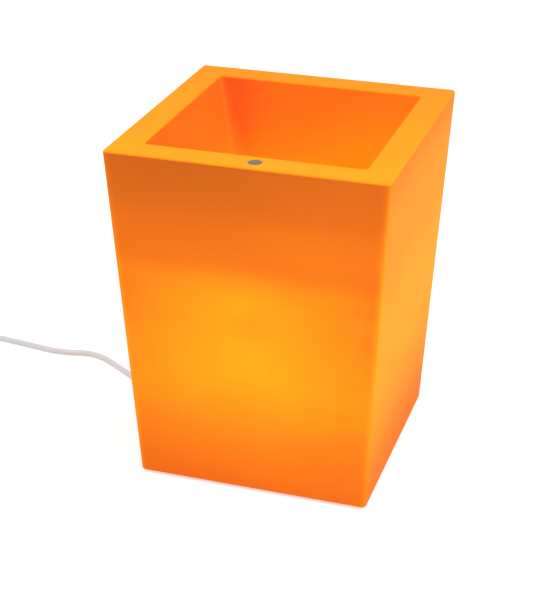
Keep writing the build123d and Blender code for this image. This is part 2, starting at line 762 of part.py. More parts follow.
def switch_prism(grow, low, high):
    return extrude(Pos(0, 0, low) * switch_outline(grow), high - low)


def cord_holes():
    hole = disc(CORD_RADIUS + CLOSE_FIT, -SWITCH_LENGTH / 2 - 1, SWITCH_LENGTH / 2 + 1)
    return Pos(0, 0, SWITCH_AXIS) * Rot(0, 90, 0) * hole


def case_screw_places():
    return [Pos(side * CASE_SCREW_X, side * CASE_SCREW_Y, 0) for side in (-1, 1)]


def switch_lower():
    case = switch_prism(0, 0, SWITCH_SPLIT)
    case = chamfer(edges_at(case, 0), SWITCH_WALL / 2)
    case -= switch_prism(-SWITCH_WALL, SWITCH_WALL, SWITCH_SPLIT)
    for place in case_screw_places():
        case += place * disc(CASE_BOSS_RADIUS, SWITCH_WALL, SWITCH_SPLIT)
        case -= place * disc(CASE_SCREW_RADIUS + CLOSE_FIT, 0, SWITCH_SPLIT)
        case -= place * disc(CASE_SCREW_HEAD_RADIUS + CLOSE_FIT, 0, SWITCH_WALL)
    return case - cord_holes()


def rocker_window():
    return Box(ROCKER_LENGTH + 2 * WINDOW_END_GAP, ROCKER_WIDTH + 2 * LOOSE_FIT, SWITCH_TOP * 2)


def rocker_axis_z():
    return SWITCH_TOP - PIVOT_DEPTH


def switch_upper():
    case = switch_prism(0, SWITCH_SPLIT, SWITCH_TOP)
    case = fillet(edges_at(case, SWITCH_TOP), SWITCH_WALL)
    roof = SWITCH_TOP - SWITCH_WALL
    case -= switch_prism(-SWITCH_WALL, SWITCH_SPLIT, roof)
    ear_y = ROCKER_WIDTH / 2 + LOOSE_FIT + SWITCH_WALL / 2
    for side in (-1, 1):
        ear = Box(ROCKER_LENGTH / 2, SWITCH_WALL, roof - SWITCH_SPLIT)
        case += Pos(0, side * ear_y, (roof + SWITCH_SPLIT) / 2) * ear
    case -= rocker_window()
    pivot = Pos(0, 0, rocker_axis_z()) * Rot(90, 0, 0)
    case -= pivot * disc(PIVOT_RADIUS + PIVOT_FIT, -ear_y - SWITCH_WALL, ear_y + SWITCH_WALL)
    for place in case_screw_places():
        case += place * disc(CASE_BOSS_RADIUS, SWITCH_SPLIT, roof)
        case -= place * disc(CASE_SCREW_RADIUS, SWITCH_SPLIT, SWITCH_SPLIT + CASE_SCREW_REACH)
    return case - cord_holes()


def switch_rocker():
    """The rocker as it lies when it is switched on, one end pressed down."""
    half = ROCKER_LENGTH / 2
    end_z = ROCKER_RISE + 1.2
    slope_z = ROCKER_RISE - 0.2
    middle_z = ROCKER_RISE - 0.6
    top = Spline((-half, end_z), (-half / 2, slope_z), (0, middle_z), (half / 2, slope_z), (half, end_z))
    under = Polyline((half, end_z), (half, -1), (3, -3), (-3, -3), (-half, -1), (-half, end_z))
    body = extrude(Plane.XZ.offset(-ROCKER_WIDTH / 2) * make_face(top + under), ROCKER_WIDTH)
    pins = ROCKER_WIDTH / 2 + LOOSE_FIT + SWITCH_WALL
    body += Rot(90, 0, 0) * disc(PIVOT_RADIUS, -pins, pins)
    return Pos(0, 0, rocker_axis_z()) * Rot(0, ROCKER_TILT, 0) * body


def switch_screws():
    head = disc(CASE_SCREW_HEAD_RADIUS, SWITCH_WALL * 0.3, SWITCH_WALL)
    screw = head + disc(CASE_SCREW_RADIUS, SWITCH_WALL, SWITCH_SPLIT + CASE_SCREW_REACH - CLOSE_FIT)
    return Compound(children=[place * screw for place in case_screw_places()])


def switch_contacts():
    """Two bent brass strips that stand on the floor of the case under the ends of the rocker."""
    height = SWITCH_SPLIT - SWITCH_WALL
    foot = Pos(CONTACT_X / 2, 0, CONTACT_SHEET / 2) * Box(CONTACT_X, 4, CONTACT_SHEET)
    strip = foot + Pos(CONTACT_SHEET / 2, 0, height / 2) * Box(CONTACT_SHEET, 4, height)
    places = [Pos(CONTACT_X, 0, SWITCH_WALL), Pos(-CONTACT_X, 0, SWITCH_WALL) * Rot(0, 0, 180)]
    return Compound(children=[place * strip for place in places])


def on_the_cord(point, way):
    """Where a piece drawn along +X from its own origin lies when the cord passes point along way."""
    return Pos(point.X, point.Y, 0) * Rot(0, 0, math.degrees(math.atan2(way.Y, way.X)))


def switch_place():
    start = Vector(*ROUTE_TO_SWITCH[-1])
    end = Vector(*ROUTE_TO_COIL[0])
    return on_the_cord((start + end) / 2, end - start)


# Plug, drawn along +X from the end of the cord, lying flat on the floor


def plug_place():
    before, end = [Vector(*point) for point in ROUTE_TO_PLUG[-2:]]
    return on_the_cord(end, end - before)


def plug_body():
    tail = PLUG_TAIL_LENGTH
    middle = PLUG_THICKNESS / 2
    wide = PLUG_WIDTH / 2
    narrow = PLUG_TAIL_WIDTH / 2
    end = tail + PLUG_LENGTH
    outline = make_face(Polyline(
        (tail, -narrow), (tail + PLUG_LENGTH * 0.55, -wide), (end, -wide),
        (end, wide), (tail + PLUG_LENGTH * 0.55, wide), (tail, narrow), close=True,
    ))
    outline = fillet(outline.vertices(), 2.5)
    body = extrude(outline, PLUG_THICKNESS)
    body = fillet(edges_at(body, 0) + edges_at(body, PLUG_THICKNESS), 2)
    body += Pos(tail / 2, 0, middle) * Rot(0, 90, 0) * Cone(CORD_RADIUS + 0.6, PLUG_THICKNESS / 2 - 0.8, tail)
    step = tail / (PLUG_GROOVES + 0.6)
    for number in range(PLUG_GROOVES):
        groove = ring(PLUG_THICKNESS, CORD_RADIUS + 0.3 + 0.4 * number, 0, PLUG_GROOVE)
        body -= Pos(step * (number + 0.7), 0, middle) * Rot(0, 90, 0) * groove
    return body


def plug_pins():
    face = PLUG_TAIL_LENGTH + PLUG_LENGTH
    pin = disc(PIN_RADIUS, face, face + PIN_LENGTH)
    pin = fillet(pin.edges().sort_by(Axis.Z)[-1], PIN_RADIUS * 0.7)
    lying = Rot(0, 90, 0) * pin
    places = [Pos(0, side * PIN_SPACING / 2, PLUG_THICKNESS / 2) for side in (-1, 1)]
    return Compound(children=[place * lying for place in places])


# Cord


def fillet_radii(points):
    radii = []
    for before, corner, after in zip(points, points[1:], points[2:]):
        one = Vector(*corner) - Vector(*before)
        two = Vector(*after) - Vector(*corner)
        half_turn = math.radians(one.get_angle(two)) / 2
        radii.append(0.45 * min(one.length, two.length) / math.tan(half_turn))
    return radii


def cord_stretch(name, points):
    radii = fillet_radii(points)
    line = FilletPolyline(*points, radius=radii)
    tube = sweep(Plane(origin=line @ 0, z_dir=line % 0) * Circle(CORD_RADIUS), line)
    expected = math.pi * CORD_RADIUS ** 2 * line.length
    print(name, "radii", [round(radius) for radius in radii], "length", round(line.length, 1))
    print(name, "volume over section times length", round(tube.volume / expected, 5))
    return tube


def biarc(start, start_way, end, end_way):
    """Two arcs that leave start along start_way, meet smoothly and reach end along end_way."""
    chord = end - start
    ways = start_way + end_way
    spread = 1 - start_way.dot(end_way)
    root = math.sqrt(chord.dot(ways) ** 2 + 2 * spread * chord.dot(chord))
    reach = (root - chord.dot(ways)) / (2 * spread)
    middle = (start + end + (start_way - end_way) * reach) * 0.5
    first = Edge.make_tangent_arc(start, start_way, middle)
    return [first, Edge.make_tangent_arc(middle, first % 1, end)]


def coil_edges():
    """In along the floor, up in the half turn where the spiral reverses, and out again on top."""
    down = Vector(0, -1, 0)
    up = Vector(0, 1, 0)
    lead = Vector(*ROUTE_TO_COIL[-1])
    here = lead + down * (2 * CORD_RADIUS)
    edges = [Edge.make_line(lead, here)]
    radius = COIL_RADIUS
    way = down
    for number in range(HALF_TURNS_IN):
        there = here + Vector(2 * radius if way == down else -2 * radius, 0, 0)
        edges.append(Edge.make_tangent_arc(here, way, there))
        here, way = there, up if way == down else down
        radius -= COIL_PITCH / 2
    there = here + Vector(-2 * radius, 0, COIL_LAYER)
    edges += biarc(here, way, there, down)
    here, way = there, down
    for number in range(HALF_TURNS_OUT):
        radius += COIL_PITCH / 2
        there = here + Vector(2 * radius if way == down else -2 * radius, 0, 0)
        edges.append(Edge.make_tangent_arc(here, way, there))
        here, way = there, up if way == down else down
    radius += COIL_PITCH / 2
    there = here + Vector(radius, -radius, 0)
    edges.append(Edge.make_tangent_arc(here, way, there))
    edges.append(Edge.make_line(there, there + Vector(2 * CORD_RADIUS, 0, 0)))
    return edges


def least_gap(edges):
    """The least free space between two turns, on points along the coil."""
    step = 2.0
    points = []
    travelled = 0.0
    for edge in edges:
        count = max(2, int(edge.length / step))
        points += [(travelled + edge.length * n / count, edge @ (n / count)) for n in range(count)]
        travelled += edge.length
    apart = math.pi * COIL_RADIUS / 2
    gaps = []
    for number, (here, point) in enumerate(points):
        gaps += [(point - other).length for there, other in points[number + 1:] if there - here > apart]
    return min(gaps) - 2 * CORD_RADIUS


def cord_coil():
    edges = coil_edges()
    path = Wire(edges)
    tube = sweep(Plane(origin=edges[0] @ 0, z_dir=edges[0] % 0) * Circle(CORD_RADIUS), path)
    expected = math.pi * CORD_RADIUS ** 2 * path.length
    print("cord_coil length", round(path.length, 1), "end", edges[-1] @ 1)
    print("cord_coil volume over section times length", round(tube.volume / expected, 5))
    print("cord_coil least gap to itself", round(least_gap(edges), 2))
    return tube


def mains_cord():
    return cord_stretch("mains_cord", ROUTE_TO_SWITCH)


def cord_to_coil():
    return cord_stretch("cord_to_coil", ROUTE_TO_COIL)


def cord_to_plug():
    return cord_stretch("cord_to_plug", ROUTE_TO_PLUG)


PIECES = {
    "planter_shell": planter_shell,
    "pot_base": pot_base,
    "rim_disc": rim_disc,
    "rubber_feet": rubber_feet,
    "base_cover": base_cover,
    "cover_gasket": cover_gasket,
    "cover_inserts": cover_inserts,
    "cover_screws": cover_screws,
    "cord_grommet": cord_grommet,
    "cord_clamp": cord_clamp,
    "clamp_screws": clamp_screws,
    "cord_tail": cord_tail,
    "holder_bracket": holder_bracket,
    "bracket_screws": bracket_screws,
    "holder_nipple": holder_nipple,
    "nipple_nut": nipple_nut,
    "holder_dome": holder_dome,
    "holder_block": holder_block,
    "holder_skirt": holder_skirt,
    "screw_shell": screw_shell,
    "centre_contact": centre_contact,
    "live_wire": lambda: lamp_wires(1),
    "neutral_wire": lambda: lamp_wires(-1),
    "lamp_cap": lamp_cap,
    "cap_insulator": cap_insulator,
    "cap_tip": cap_tip,
    "ballast_housing": ballast_housing,
    "lamp_tubes": lamp_tubes,
    "mains_cord": mains_cord,
    "switch_lower": lambda: switch_place() * switch_lower(),
    "switch_upper": lambda: switch_place() * switch_upper(),
    "switch_rocker": lambda: switch_place() * switch_rocker(),
    "switch_screws": lambda: switch_place() * switch_screws(),
    "switch_contacts": lambda: switch_place() * switch_contacts(),
    "cord_to_coil": cord_to_coil,
    "cord_coil": cord_coil,
    "cord_to_plug": cord_to_plug,
    "plug_body": lambda: plug_place() * plug_body(),
    "plug_pins": lambda: plug_place() * plug_pins(),
}

os.makedirs("parts", exist_ok=True)
for name, make in PIECES.items():
    export_step(make(), f"parts/{name}.step")
print("lamp rises", round(THREAD_PITCH * LAMP_TURNS, 3), "mm in", LAMP_TURNS, "turns")
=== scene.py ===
import math

import bmesh
import bpy
from mathutils import Matrix, Vector


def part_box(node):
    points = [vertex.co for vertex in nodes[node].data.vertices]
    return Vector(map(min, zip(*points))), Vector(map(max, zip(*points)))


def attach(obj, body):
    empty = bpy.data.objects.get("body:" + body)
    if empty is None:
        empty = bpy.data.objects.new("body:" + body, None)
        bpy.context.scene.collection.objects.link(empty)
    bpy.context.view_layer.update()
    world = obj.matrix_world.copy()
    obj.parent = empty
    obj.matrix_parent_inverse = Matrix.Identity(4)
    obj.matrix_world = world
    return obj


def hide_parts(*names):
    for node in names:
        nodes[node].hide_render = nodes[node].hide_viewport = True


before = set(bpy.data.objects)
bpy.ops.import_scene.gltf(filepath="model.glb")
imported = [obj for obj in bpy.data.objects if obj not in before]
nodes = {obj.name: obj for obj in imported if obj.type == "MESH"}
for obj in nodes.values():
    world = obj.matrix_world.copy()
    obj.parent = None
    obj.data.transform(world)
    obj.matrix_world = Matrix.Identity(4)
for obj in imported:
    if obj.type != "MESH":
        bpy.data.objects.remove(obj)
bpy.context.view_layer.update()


# Camera: it stands where the photograph was taken from, about 1.6 m in front of the pot and to its right,
# and looks down on it from a metre above the floor.
CAMERA_PLACE = (0.4811, -1.5493, 0.9715)
CAMERA_TURN_DEGREES = (63.94, -0.125, 17.70)
SENSOR_MM = 36
LENS_MM = 93.51

bpy.ops.object.select_all(action="DESELECT")
bpy.ops.object.camera_add(
    location=CAMERA_PLACE, rotation=[math.radians(turn) for turn in CAMERA_TURN_DEGREES],
)
camera = bpy.context.object
camera.name = "camera"
camera.data.sensor_width = SENSOR_MM
camera.data.lens = LENS_MM
bpy.context.scene.camera = camera
bpy.context.scene.view_settings.view_transform = "Standard"


# Studio floor: a wide pale board. To the camera it is lifted to white, and it keeps the pot's soft shadow.
# The same white surrounds the pot in what its gloss and its metal pick up.
def linear(code):
    """The linear colour, with alpha, of an sRGB hex code."""
    parts = [int(code[i:i + 2], 16) / 255 for i in (1, 3, 5)]
    return tuple(c / 12.92 if c <= 0.04045 else ((c + 0.055) / 1.055) ** 2.4 for c in parts) + (1.0,)


def add(tree, kind, inputs=None, **settings):
    """Adds a node with its settings, and puts values or links on its inputs."""
    made = tree.nodes.new(kind)
    for name, value in settings.items():
        setattr(made, name, value)
    for socket, value in (inputs or {}).items():
        if isinstance(value, bpy.types.NodeSocket):
            tree.links.new(value, made.inputs[socket])
        else:
            made.inputs[socket].default_value = value
    return made


def new_material(name):
    """An empty material, its node tree ready to be filled."""
    made = bpy.data.materials.new(name)
    made.use_nodes = True
    made.node_tree.nodes.clear()
    return made, made.node_tree


def looked_at(tree):
    """1 for what the camera sees, straight or in gloss or through glass, and 0 for what only lights."""
    path = add(tree, "ShaderNodeLightPath")
    mirrored = add(
        tree, "ShaderNodeMath", {0: path.outputs["Is Glossy Ray"], 1: path.outputs["Is Transmission Ray"]},
        operation="MAXIMUM",
    )
    seen = add(
        tree, "ShaderNodeMath", {0: path.outputs["Is Camera Ray"], 1: mirrored.outputs[0]}, operation="MAXIMUM",
    )
    return seen.outputs[0]


FLOOR_SIZE = 12.0
FLOOR_DROP = 0.0005
FLOOR_WHITE = "#F2F2F2"
FLOOR_LIFT = 0.48
ROOM_LIGHT = 0.55

bpy.ops.mesh.primitive_plane_add(size=FLOOR_SIZE, location=(0, 0, -FLOOR_DROP))
floor = bpy.context.object
floor.name = "studio_floor"
floor_material, tree = new_material("studio_board")
board = add(tree, "ShaderNodeBsdfDiffuse", {"Color": linear(FLOOR_WHITE)})
lift = add(tree, "ShaderNodeEmission", {"Color": linear("#FFFFFF"), "Strength": FLOOR_LIFT})
nothing = add(tree, "ShaderNodeEmission", {"Color": linear("#000000"), "Strength": 0.0})
lifted = add(tree, "ShaderNodeMixShader", {0: looked_at(tree), 1: nothing.outputs[0], 2: lift.outputs[0]})
both = add(tree, "ShaderNodeAddShader", {0: board.outputs[0], 1: lifted.outputs[0]})
add(tree, "ShaderNodeOutputMaterial", {"Surface": both.outputs[0]})
floor.data.materials.append(floor_material)

world = bpy.data.worlds.new("studio")
world.use_nodes = True
bpy.context.scene.world = world
tree = world.node_tree
tree.nodes.clear()
room = add(tree, "ShaderNodeBackground", {"Color": linear("#FFFFFF"), "Strength": ROOM_LIGHT})
backdrop = add(tree, "ShaderNodeBackground", {"Color": linear("#FFFFFF"), "Strength": 1.0})
mixed = add(tree, "ShaderNodeMixShader", {0: looked_at(tree), 1: room.outputs[0], 2: backdrop.outputs[0]})
add(tree, "ShaderNodeOutputWorld", {"Surface": mixed.outputs[0]})


# Studio lamps: a large soft box high on the right, and a weaker one over the pot that reaches into the well.
# Both are turned to the middle of the pot, and their light is plain white.
SOFT_BOXES = [
    ("soft_box_right", (1.7, -0.1, 1.5), 1.2, 19.0),
    ("soft_box_top", (-0.4, -0.9, 2.8), 1.8, 24.0),
]
LIT_POINT = Vector((0, 0, 0.2))

for name, place, size, watts in SOFT_BOXES:
    bpy.ops.object.light_add(type="AREA", location=place)
    lamp = bpy.context.object
    lamp.name = name
    lamp.data.shape = "SQUARE"
    lamp.data.size = size
    lamp.data.energy = watts
    lamp.rotation_euler = (LIT_POINT - Vector(place)).to_track_quat("-Z", "Y").to_euler()


# Pot: orange polyethylene that lets light through. The walls, rim and well are one moulding with a slight
# satin skin, and its base is welded in between the walls. The lamp between the two skins is painted into the
# skin as a glow: brightest beside the tubes, fading with distance, and cut off above by a painted shadow of
# the floor of the planting well. Painted room light, a painted highlight and painted shade are added below.
def finish(material, *names):
    """Gives pieces of the CAD model their finish."""
    for name in names:
        nodes[name].material_slots[0].material = material


# Pairs are from and to, in metres from the floor or the pot's middle where nothing else is said.
PIGMENT_DARK = "#E87121"
PIGMENT_LIGHT = "#EC7723"
# Painted shade on the back wall of the well, beside its left corner:
WELL_PAINTED_SHADE = "#DA5F26"
SHADED_LEFT = (-0.05, -0.10)
SHADED_BACK = (0.080, 0.100)
# Painted glow: the lamp's light and the room's light in the skin, with its colours and its levels up the walls.
GLOW_DEEP = "#FF7304"
GLOW_ORANGE = "#FF9A00"
DEEP_TO_ORANGE_LEVEL = (0.2, 0.5)
GLOW_STRENGTH = 1.0
GLOW_UP_THE_WALL = [
    (0.000, 0.20), (0.045, 0.34), (0.085, 0.44), (0.120, 0.70), (0.155, 0.96), (0.188, 0.90), (0.210, 0.76),
    (0.238, 0.80), (0.262, 0.60), (0.284, 0.28), (0.325, 0.24), (0.350, 0.10), (0.395, 0.00),
]
GLOW_UP_THE_SIDE = [
    (0.000, 0.17), (0.050, 0.32), (0.100, 0.50), (0.150, 0.68), (0.200, 0.73), (0.240, 0.70), (0.280, 0.56),
    (0.315, 0.49), (0.350, 0.52), (0.395, 0.30),
]
GLOW_HALF_WIDTH = 0.135
GLOW_HALF_WIDTH_FAR = 0.30
GLOW_NARROWS = (0.06, 0.16)
GLOW_WIDENS = (0.25, 0.30)
GLOW_SPOTS = [((-0.008, 0.0, 0.240), 0.030, 0.07), ((0.002, 0.0, 0.218), 0.036, -0.09)]
ROOM_SIDE_GLOW = 0.10
ROOM_SIDE_ACROSS = (-0.06, 0.13)
ROOM_SIDE_UP = (0.27, 0.31)
FRONT_TO_SIDE = (-0.004, 0.004)
CORNER_GLOW = 0.12
CORNER_SHARE = (0.935, 0.985)
WELL_FLOOR = 0.25
WELL_FLOOR_HALF = 0.0835
WELL_MOUTH_HALF = 0.1255
WELL_MASK_FOOT = 0.24
WELL_GLOW_NEAR = 0.13
WELL_GLOW_FAR = 0.54
WELL_DOWN_TO = 0.30
WELL_DOWN_SHARE = 0.6
WELL_ACROSS = (-0.11, 0.12)
WELL_ACROSS_SHARE = 0.4
BASE_GLOW = 0.22
BASE_HALF = 0.127
BASE_TOP = 0.06
RIM_GLOW_NEAR = 0.76
RIM_GLOW_FAR = 0.50
RIM_BELOW_TOP = (0.0032, 0.0006)
RIM_FRONT_TO_BACK = (-0.15, 0.15)
NOISE_SPAN = (0.3, 0.7)
CLOUDS_IN_A_METRE = 18.0
CLOUD_LEVEL = (0.96, 1.04)
SKIN_GRAIN_MM = 1.4
SKIN_GRAIN_DEPTH = 0.0006
SKIN_ROUGHNESS = 0.50
SKIN_ROUGHNESS_SPREAD = 0.05

pot_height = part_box("planter_shell")[1].z

pot_material, tree = new_material("translucent_polyethylene_painted_glow")
place = add(tree, "ShaderNodeTexCoord")
parts = add(tree, "ShaderNodeSeparateXYZ", {0: place.outputs["Object"]})
across_x = add(tree, "ShaderNodeMath", {0: parts.outputs["X"]}, operation="ABSOLUTE")
across_y = add(tree, "ShaderNodeMath", {0: parts.outputs["Y"]}, operation="ABSOLUTE")
to_wall = add(tree, "ShaderNodeMath", {0: across_x.outputs[0], 1: across_y.outputs[0]}, operation="MAXIMUM")
along_wall = add(tree, "ShaderNodeMath", {0: across_x.outputs[0], 1: across_y.outputs[0]}, operation="MINIMUM")

# The painted glow of a wall at each height. The front and back walls face the tubes' bend, and the side walls
# get less painted lamp light but more painted room light above the floor of the well.
height = add(
    tree, "ShaderNodeMapRange", {0: parts.outputs["Z"], 1: 0.0, 2: pot_height, 3: 0.0, 4: 1.0},
)
ramps = []
for profile in (GLOW_UP_THE_WALL, GLOW_UP_THE_SIDE):
    ramp = add(tree, "ShaderNodeValToRGB", {0: height.outputs[0]})
    ramp.color_ramp.interpolation = "B_SPLINE"
    stops = ramp.color_ramp.elements
    for number, (z, level) in enumerate(profile):
        stop = stops[number] if number < 2 else stops.new(z / pot_height)
        stop.position = z / pot_height
        stop.color = (level, level, level, 1)
    ramps.append(ramp)

# Beside the lamp the glow fades towards the sides of the front and back walls. Below and above it is wider.
below_lamp = add(
    tree, "ShaderNodeMapRange",
    {
        0: parts.outputs["Z"], 1: GLOW_NARROWS[0], 2: GLOW_NARROWS[1],
        3: GLOW_HALF_WIDTH_FAR, 4: GLOW_HALF_WIDTH,
    },
)
over_lamp = add(
    tree, "ShaderNodeMapRange",
    {
        0: parts.outputs["Z"], 1: GLOW_WIDENS[0], 2: GLOW_WIDENS[1],
        3: GLOW_HALF_WIDTH, 4: GLOW_HALF_WIDTH_FAR,
    },
)
half_width = add(tree, "ShaderNodeMath", {0: below_lamp.outputs[0], 1: over_lamp.outputs[0]}, operation="MAXIMUM")
share = add(tree, "ShaderNodeMath", {0: along_wall.outputs[0], 1: half_width.outputs[0]}, operation="DIVIDE")
square = add(tree, "ShaderNodeMath", {0: share.outputs[0], 1: 2.0}, operation="POWER")
spread = add(tree, "ShaderNodeMath", {0: square.outputs[0], 1: 1.0}, operation="ADD")
sideways = add(tree, "ShaderNodeMath", {0: 1.0, 1: spread.outputs[0]}, operation="DIVIDE")
from_lamp = add(tree, "ShaderNodeMath", {0: ramps[0].outputs[0], 1: sideways.outputs[0]}, operation="MULTIPLY")

# Painted room light: high up on the front, some of the light that falls on the right wall is painted as coming
# through.
from_right = add(
    tree, "ShaderNodeMapRange",
    {0: parts.outputs["X"], 1: ROOM_SIDE_ACROSS[0], 2: ROOM_SIDE_ACROSS[1], 3: 0.0, 4: ROOM_SIDE_GLOW},
    interpolation_type="SMOOTHSTEP",
)
high_up = add(
    tree, "ShaderNodeMapRange", {0: parts.outputs["Z"], 1: ROOM_SIDE_UP[0], 2: ROOM_SIDE_UP[1]},
    interpolation_type="SMOOTHSTEP",
)
painted_room_light = add(tree, "ShaderNodeMath", {0: from_right.outputs[0], 1: high_up.outputs[0]}, operation="MULTIPLY")
front_wall = add(tree, "ShaderNodeMath", {0: from_lamp.outputs[0], 1: painted_room_light.outputs[0]}, operation="ADD")

# The bent ends of the lamp's tubes are painted as a small bright spot over a duller patch.
in_plane = add(tree, "ShaderNodeCombineXYZ", {"X": parts.outputs["X"], "Z": parts.outputs["Z"]})
for middle, reach, level in GLOW_SPOTS:
    away = add(tree, "ShaderNodeVectorMath", {0: in_plane.outputs[0], 1: middle}, operation="DISTANCE")
    spot = add(
        tree, "ShaderNodeMapRange", {0: away.outputs["Value"], 1: 0.0, 2: reach, 3: level, 4: 0.0},
        interpolation_type="SMOOTHSTEP",
    )
    front_wall = add(tree, "ShaderNodeMath", {0: front_wall.outputs[0], 1: spot.outputs[0]}, operation="ADD")
leans = add(tree, "ShaderNodeMath", {0: across_x.outputs[0], 1: across_y.outputs[0]}, operation="SUBTRACT")
is_side = add(
    tree, "ShaderNodeMapRange", {0: leans.outputs[0], 1: FRONT_TO_SIDE[0], 2: FRONT_TO_SIDE[1]},
    interpolation_type="SMOOTHSTEP",
)
wall_glow = add(
    tree, "ShaderNodeMix", {0: is_side.outputs[0], 2: front_wall.outputs[0], 3: ramps[1].outputs[0]},
    data_type="FLOAT",
)

# Painted highlight down the corners of the walls, where they catch the light.
corner = add(tree, "ShaderNodeMath", {0: along_wall.outputs[0], 1: to_wall.outputs[0]}, operation="DIVIDE")
painted_corner_highlight = add(
    tree, "ShaderNodeMapRange",
    {0: corner.outputs[0], 1: CORNER_SHARE[0], 2: CORNER_SHARE[1], 3: 0.0, 4: CORNER_GLOW},
    interpolation_type="SMOOTHSTEP",
)
outer_glow = add(tree, "ShaderNodeMath", {0: wall_glow.outputs[0], 1: painted_corner_highlight.outputs[0]}, operation="ADD")

# The well lies inside the rim, and its own wall stands inside the outer one. Its painted glow brightens
# downwards and to the right.
well_edge = add(
    tree, "ShaderNodeMapRange",
    {0: parts.outputs["Z"], 1: WELL_FLOOR, 2: pot_height, 3: WELL_FLOOR_HALF, 4: WELL_MOUTH_HALF},
)
inside_edge = add(
    tree, "ShaderNodeMath", {0: to_wall.outputs[0], 1: well_edge.outputs[0]}, operation="LESS_THAN",
)
above_floor = add(tree, "ShaderNodeMath", {0: parts.outputs["Z"], 1: WELL_MASK_FOOT}, operation="GREATER_THAN")
in_well = add(
    tree, "ShaderNodeMath", {0: inside_edge.outputs[0], 1: above_floor.outputs[0]}, operation="MULTIPLY",
)
down = add(
    tree, "ShaderNodeMapRange", {0: parts.outputs["Z"], 1: pot_height, 2: WELL_DOWN_TO, 3: 0.0, 4: WELL_DOWN_SHARE},
)
to_right = add(
    tree, "ShaderNodeMapRange",
    {0: parts.outputs["X"], 1: WELL_ACROSS[0], 2: WELL_ACROSS[1], 3: 0.0, 4: WELL_ACROSS_SHARE},
)
deeper = add(tree, "ShaderNodeMath", {0: down.outputs[0], 1: to_right.outputs[0]}, operation="ADD")
well_glow = add(
    tree, "ShaderNodeMapRange", {0: deeper.outputs[0], 3: WELL_GLOW_NEAR, 4: WELL_GLOW_FAR},
    interpolation_type="SMOOTHSTEP",
)
side_glow = add(
    tree, "ShaderNodeMix", {0: in_well.outputs[0], 2: outer_glow.outputs[0], 3: well_glow.outputs[0]},
    data_type="FLOAT",
)

# The base between the walls gets an even painted glow.
between = add(tree, "ShaderNodeMath", {0: to_wall.outputs[0], 1: BASE_HALF}, operation="LESS_THAN")
low_down = add(tree, "ShaderNodeMath", {0: parts.outputs["Z"], 1: BASE_TOP}, operation="LESS_THAN")
in_base = add(tree, "ShaderNodeMath", {0: between.outputs[0], 1: low_down.outputs[0]}, operation="MULTIPLY")
below_rim = add(
    tree, "ShaderNodeMix", {0: in_base.outputs[0], 2: side_glow.outputs[0], 3: BASE_GLOW}, data_type="FLOAT",
)

# The flat top of the rim gets a painted glow over its whole width, weaker towards the back.
at_rim = add(
    tree, "ShaderNodeMapRange",
    {0: parts.outputs["Z"], 1: pot_height - RIM_BELOW_TOP[0], 2: pot_height - RIM_BELOW_TOP[1]},
    interpolation_type="SMOOTHSTEP",
)
rim_glow = add(
    tree, "ShaderNodeMapRange",
    {
        0: parts.outputs["Y"], 1: RIM_FRONT_TO_BACK[0], 2: RIM_FRONT_TO_BACK[1],
        3: RIM_GLOW_NEAR, 4: RIM_GLOW_FAR,
    },
)
glow = add(
    tree, "ShaderNodeMix", {0: at_rim.outputs[0], 2: below_rim.outputs[0], 3: rim_glow.outputs[0]},
    data_type="FLOAT",
)

# The wall of such a moulding is a little uneven, and so is what comes through it.
clouds = add(
    tree, "ShaderNodeTexNoise",
    {"Vector": place.outputs["Object"], "Scale": CLOUDS_IN_A_METRE, "Detail": 2.0, "Roughness": 0.5},
)
uneven = add(
    tree, "ShaderNodeMapRange",
    {0: clouds.outputs["Fac"], 1: NOISE_SPAN[0], 2: NOISE_SPAN[1], 3: CLOUD_LEVEL[0], 4: CLOUD_LEVEL[1]},
)
glow_uneven = add(tree, "ShaderNodeMath", {0: glow.outputs[0], 1: uneven.outputs[0]}, operation="MULTIPLY")

# Weak light has come a long way through the plastic and is redder.
strong = add(
    tree, "ShaderNodeMapRange",
    {0: glow_uneven.outputs[0], 1: DEEP_TO_ORANGE_LEVEL[0], 2: DEEP_TO_ORANGE_LEVEL[1]},
    interpolation_type="SMOOTHSTEP",
)
light_colour = add(
    tree, "ShaderNodeMix", {0: strong.outputs[0], 6: linear(GLOW_DEEP), 7: linear(GLOW_ORANGE)}, data_type="RGBA",
)
glow_colour = add(
    tree, "ShaderNodeMix", {0: glow_uneven.outputs[0], 6: linear("#000000"), 7: light_colour.outputs[2]},
    data_type="RGBA",
)

# The pigment, with painted shade that makes it darker and redder on the back wall of the well beside its
# left corner, where least light comes.
plain_pigment = add(
    tree, "ShaderNodeMix", {0: clouds.outputs["Fac"], 6: linear(PIGMENT_DARK), 7: linear(PIGMENT_LIGHT)},
    data_type="RGBA",
)
to_left = add(
    tree, "ShaderNodeMapRange", {0: parts.outputs["X"], 1: SHADED_LEFT[0], 2: SHADED_LEFT[1]},
    interpolation_type="SMOOTHSTEP",
)
at_back = add(
    tree, "ShaderNodeMapRange", {0: parts.outputs["Y"], 1: SHADED_BACK[0], 2: SHADED_BACK[1]},
    interpolation_type="SMOOTHSTEP",
)
on_back = add(
    tree, "ShaderNodeMath", {0: at_back.outputs[0], 1: is_side.outputs[0]}, operation="SUBTRACT", use_clamp=True,
)
in_corner = add(tree, "ShaderNodeMath", {0: to_left.outputs[0], 1: on_back.outputs[0]}, operation="MULTIPLY")
painted_shade = add(tree, "ShaderNodeMath", {0: in_corner.outputs[0], 1: in_well.outputs[0]}, operation="MULTIPLY")
pigment = add(
    tree, "ShaderNodeMix", {0: painted_shade.outputs[0], 6: plain_pigment.outputs[2], 7: linear(WELL_PAINTED_SHADE)},
    data_type="RGBA",
)

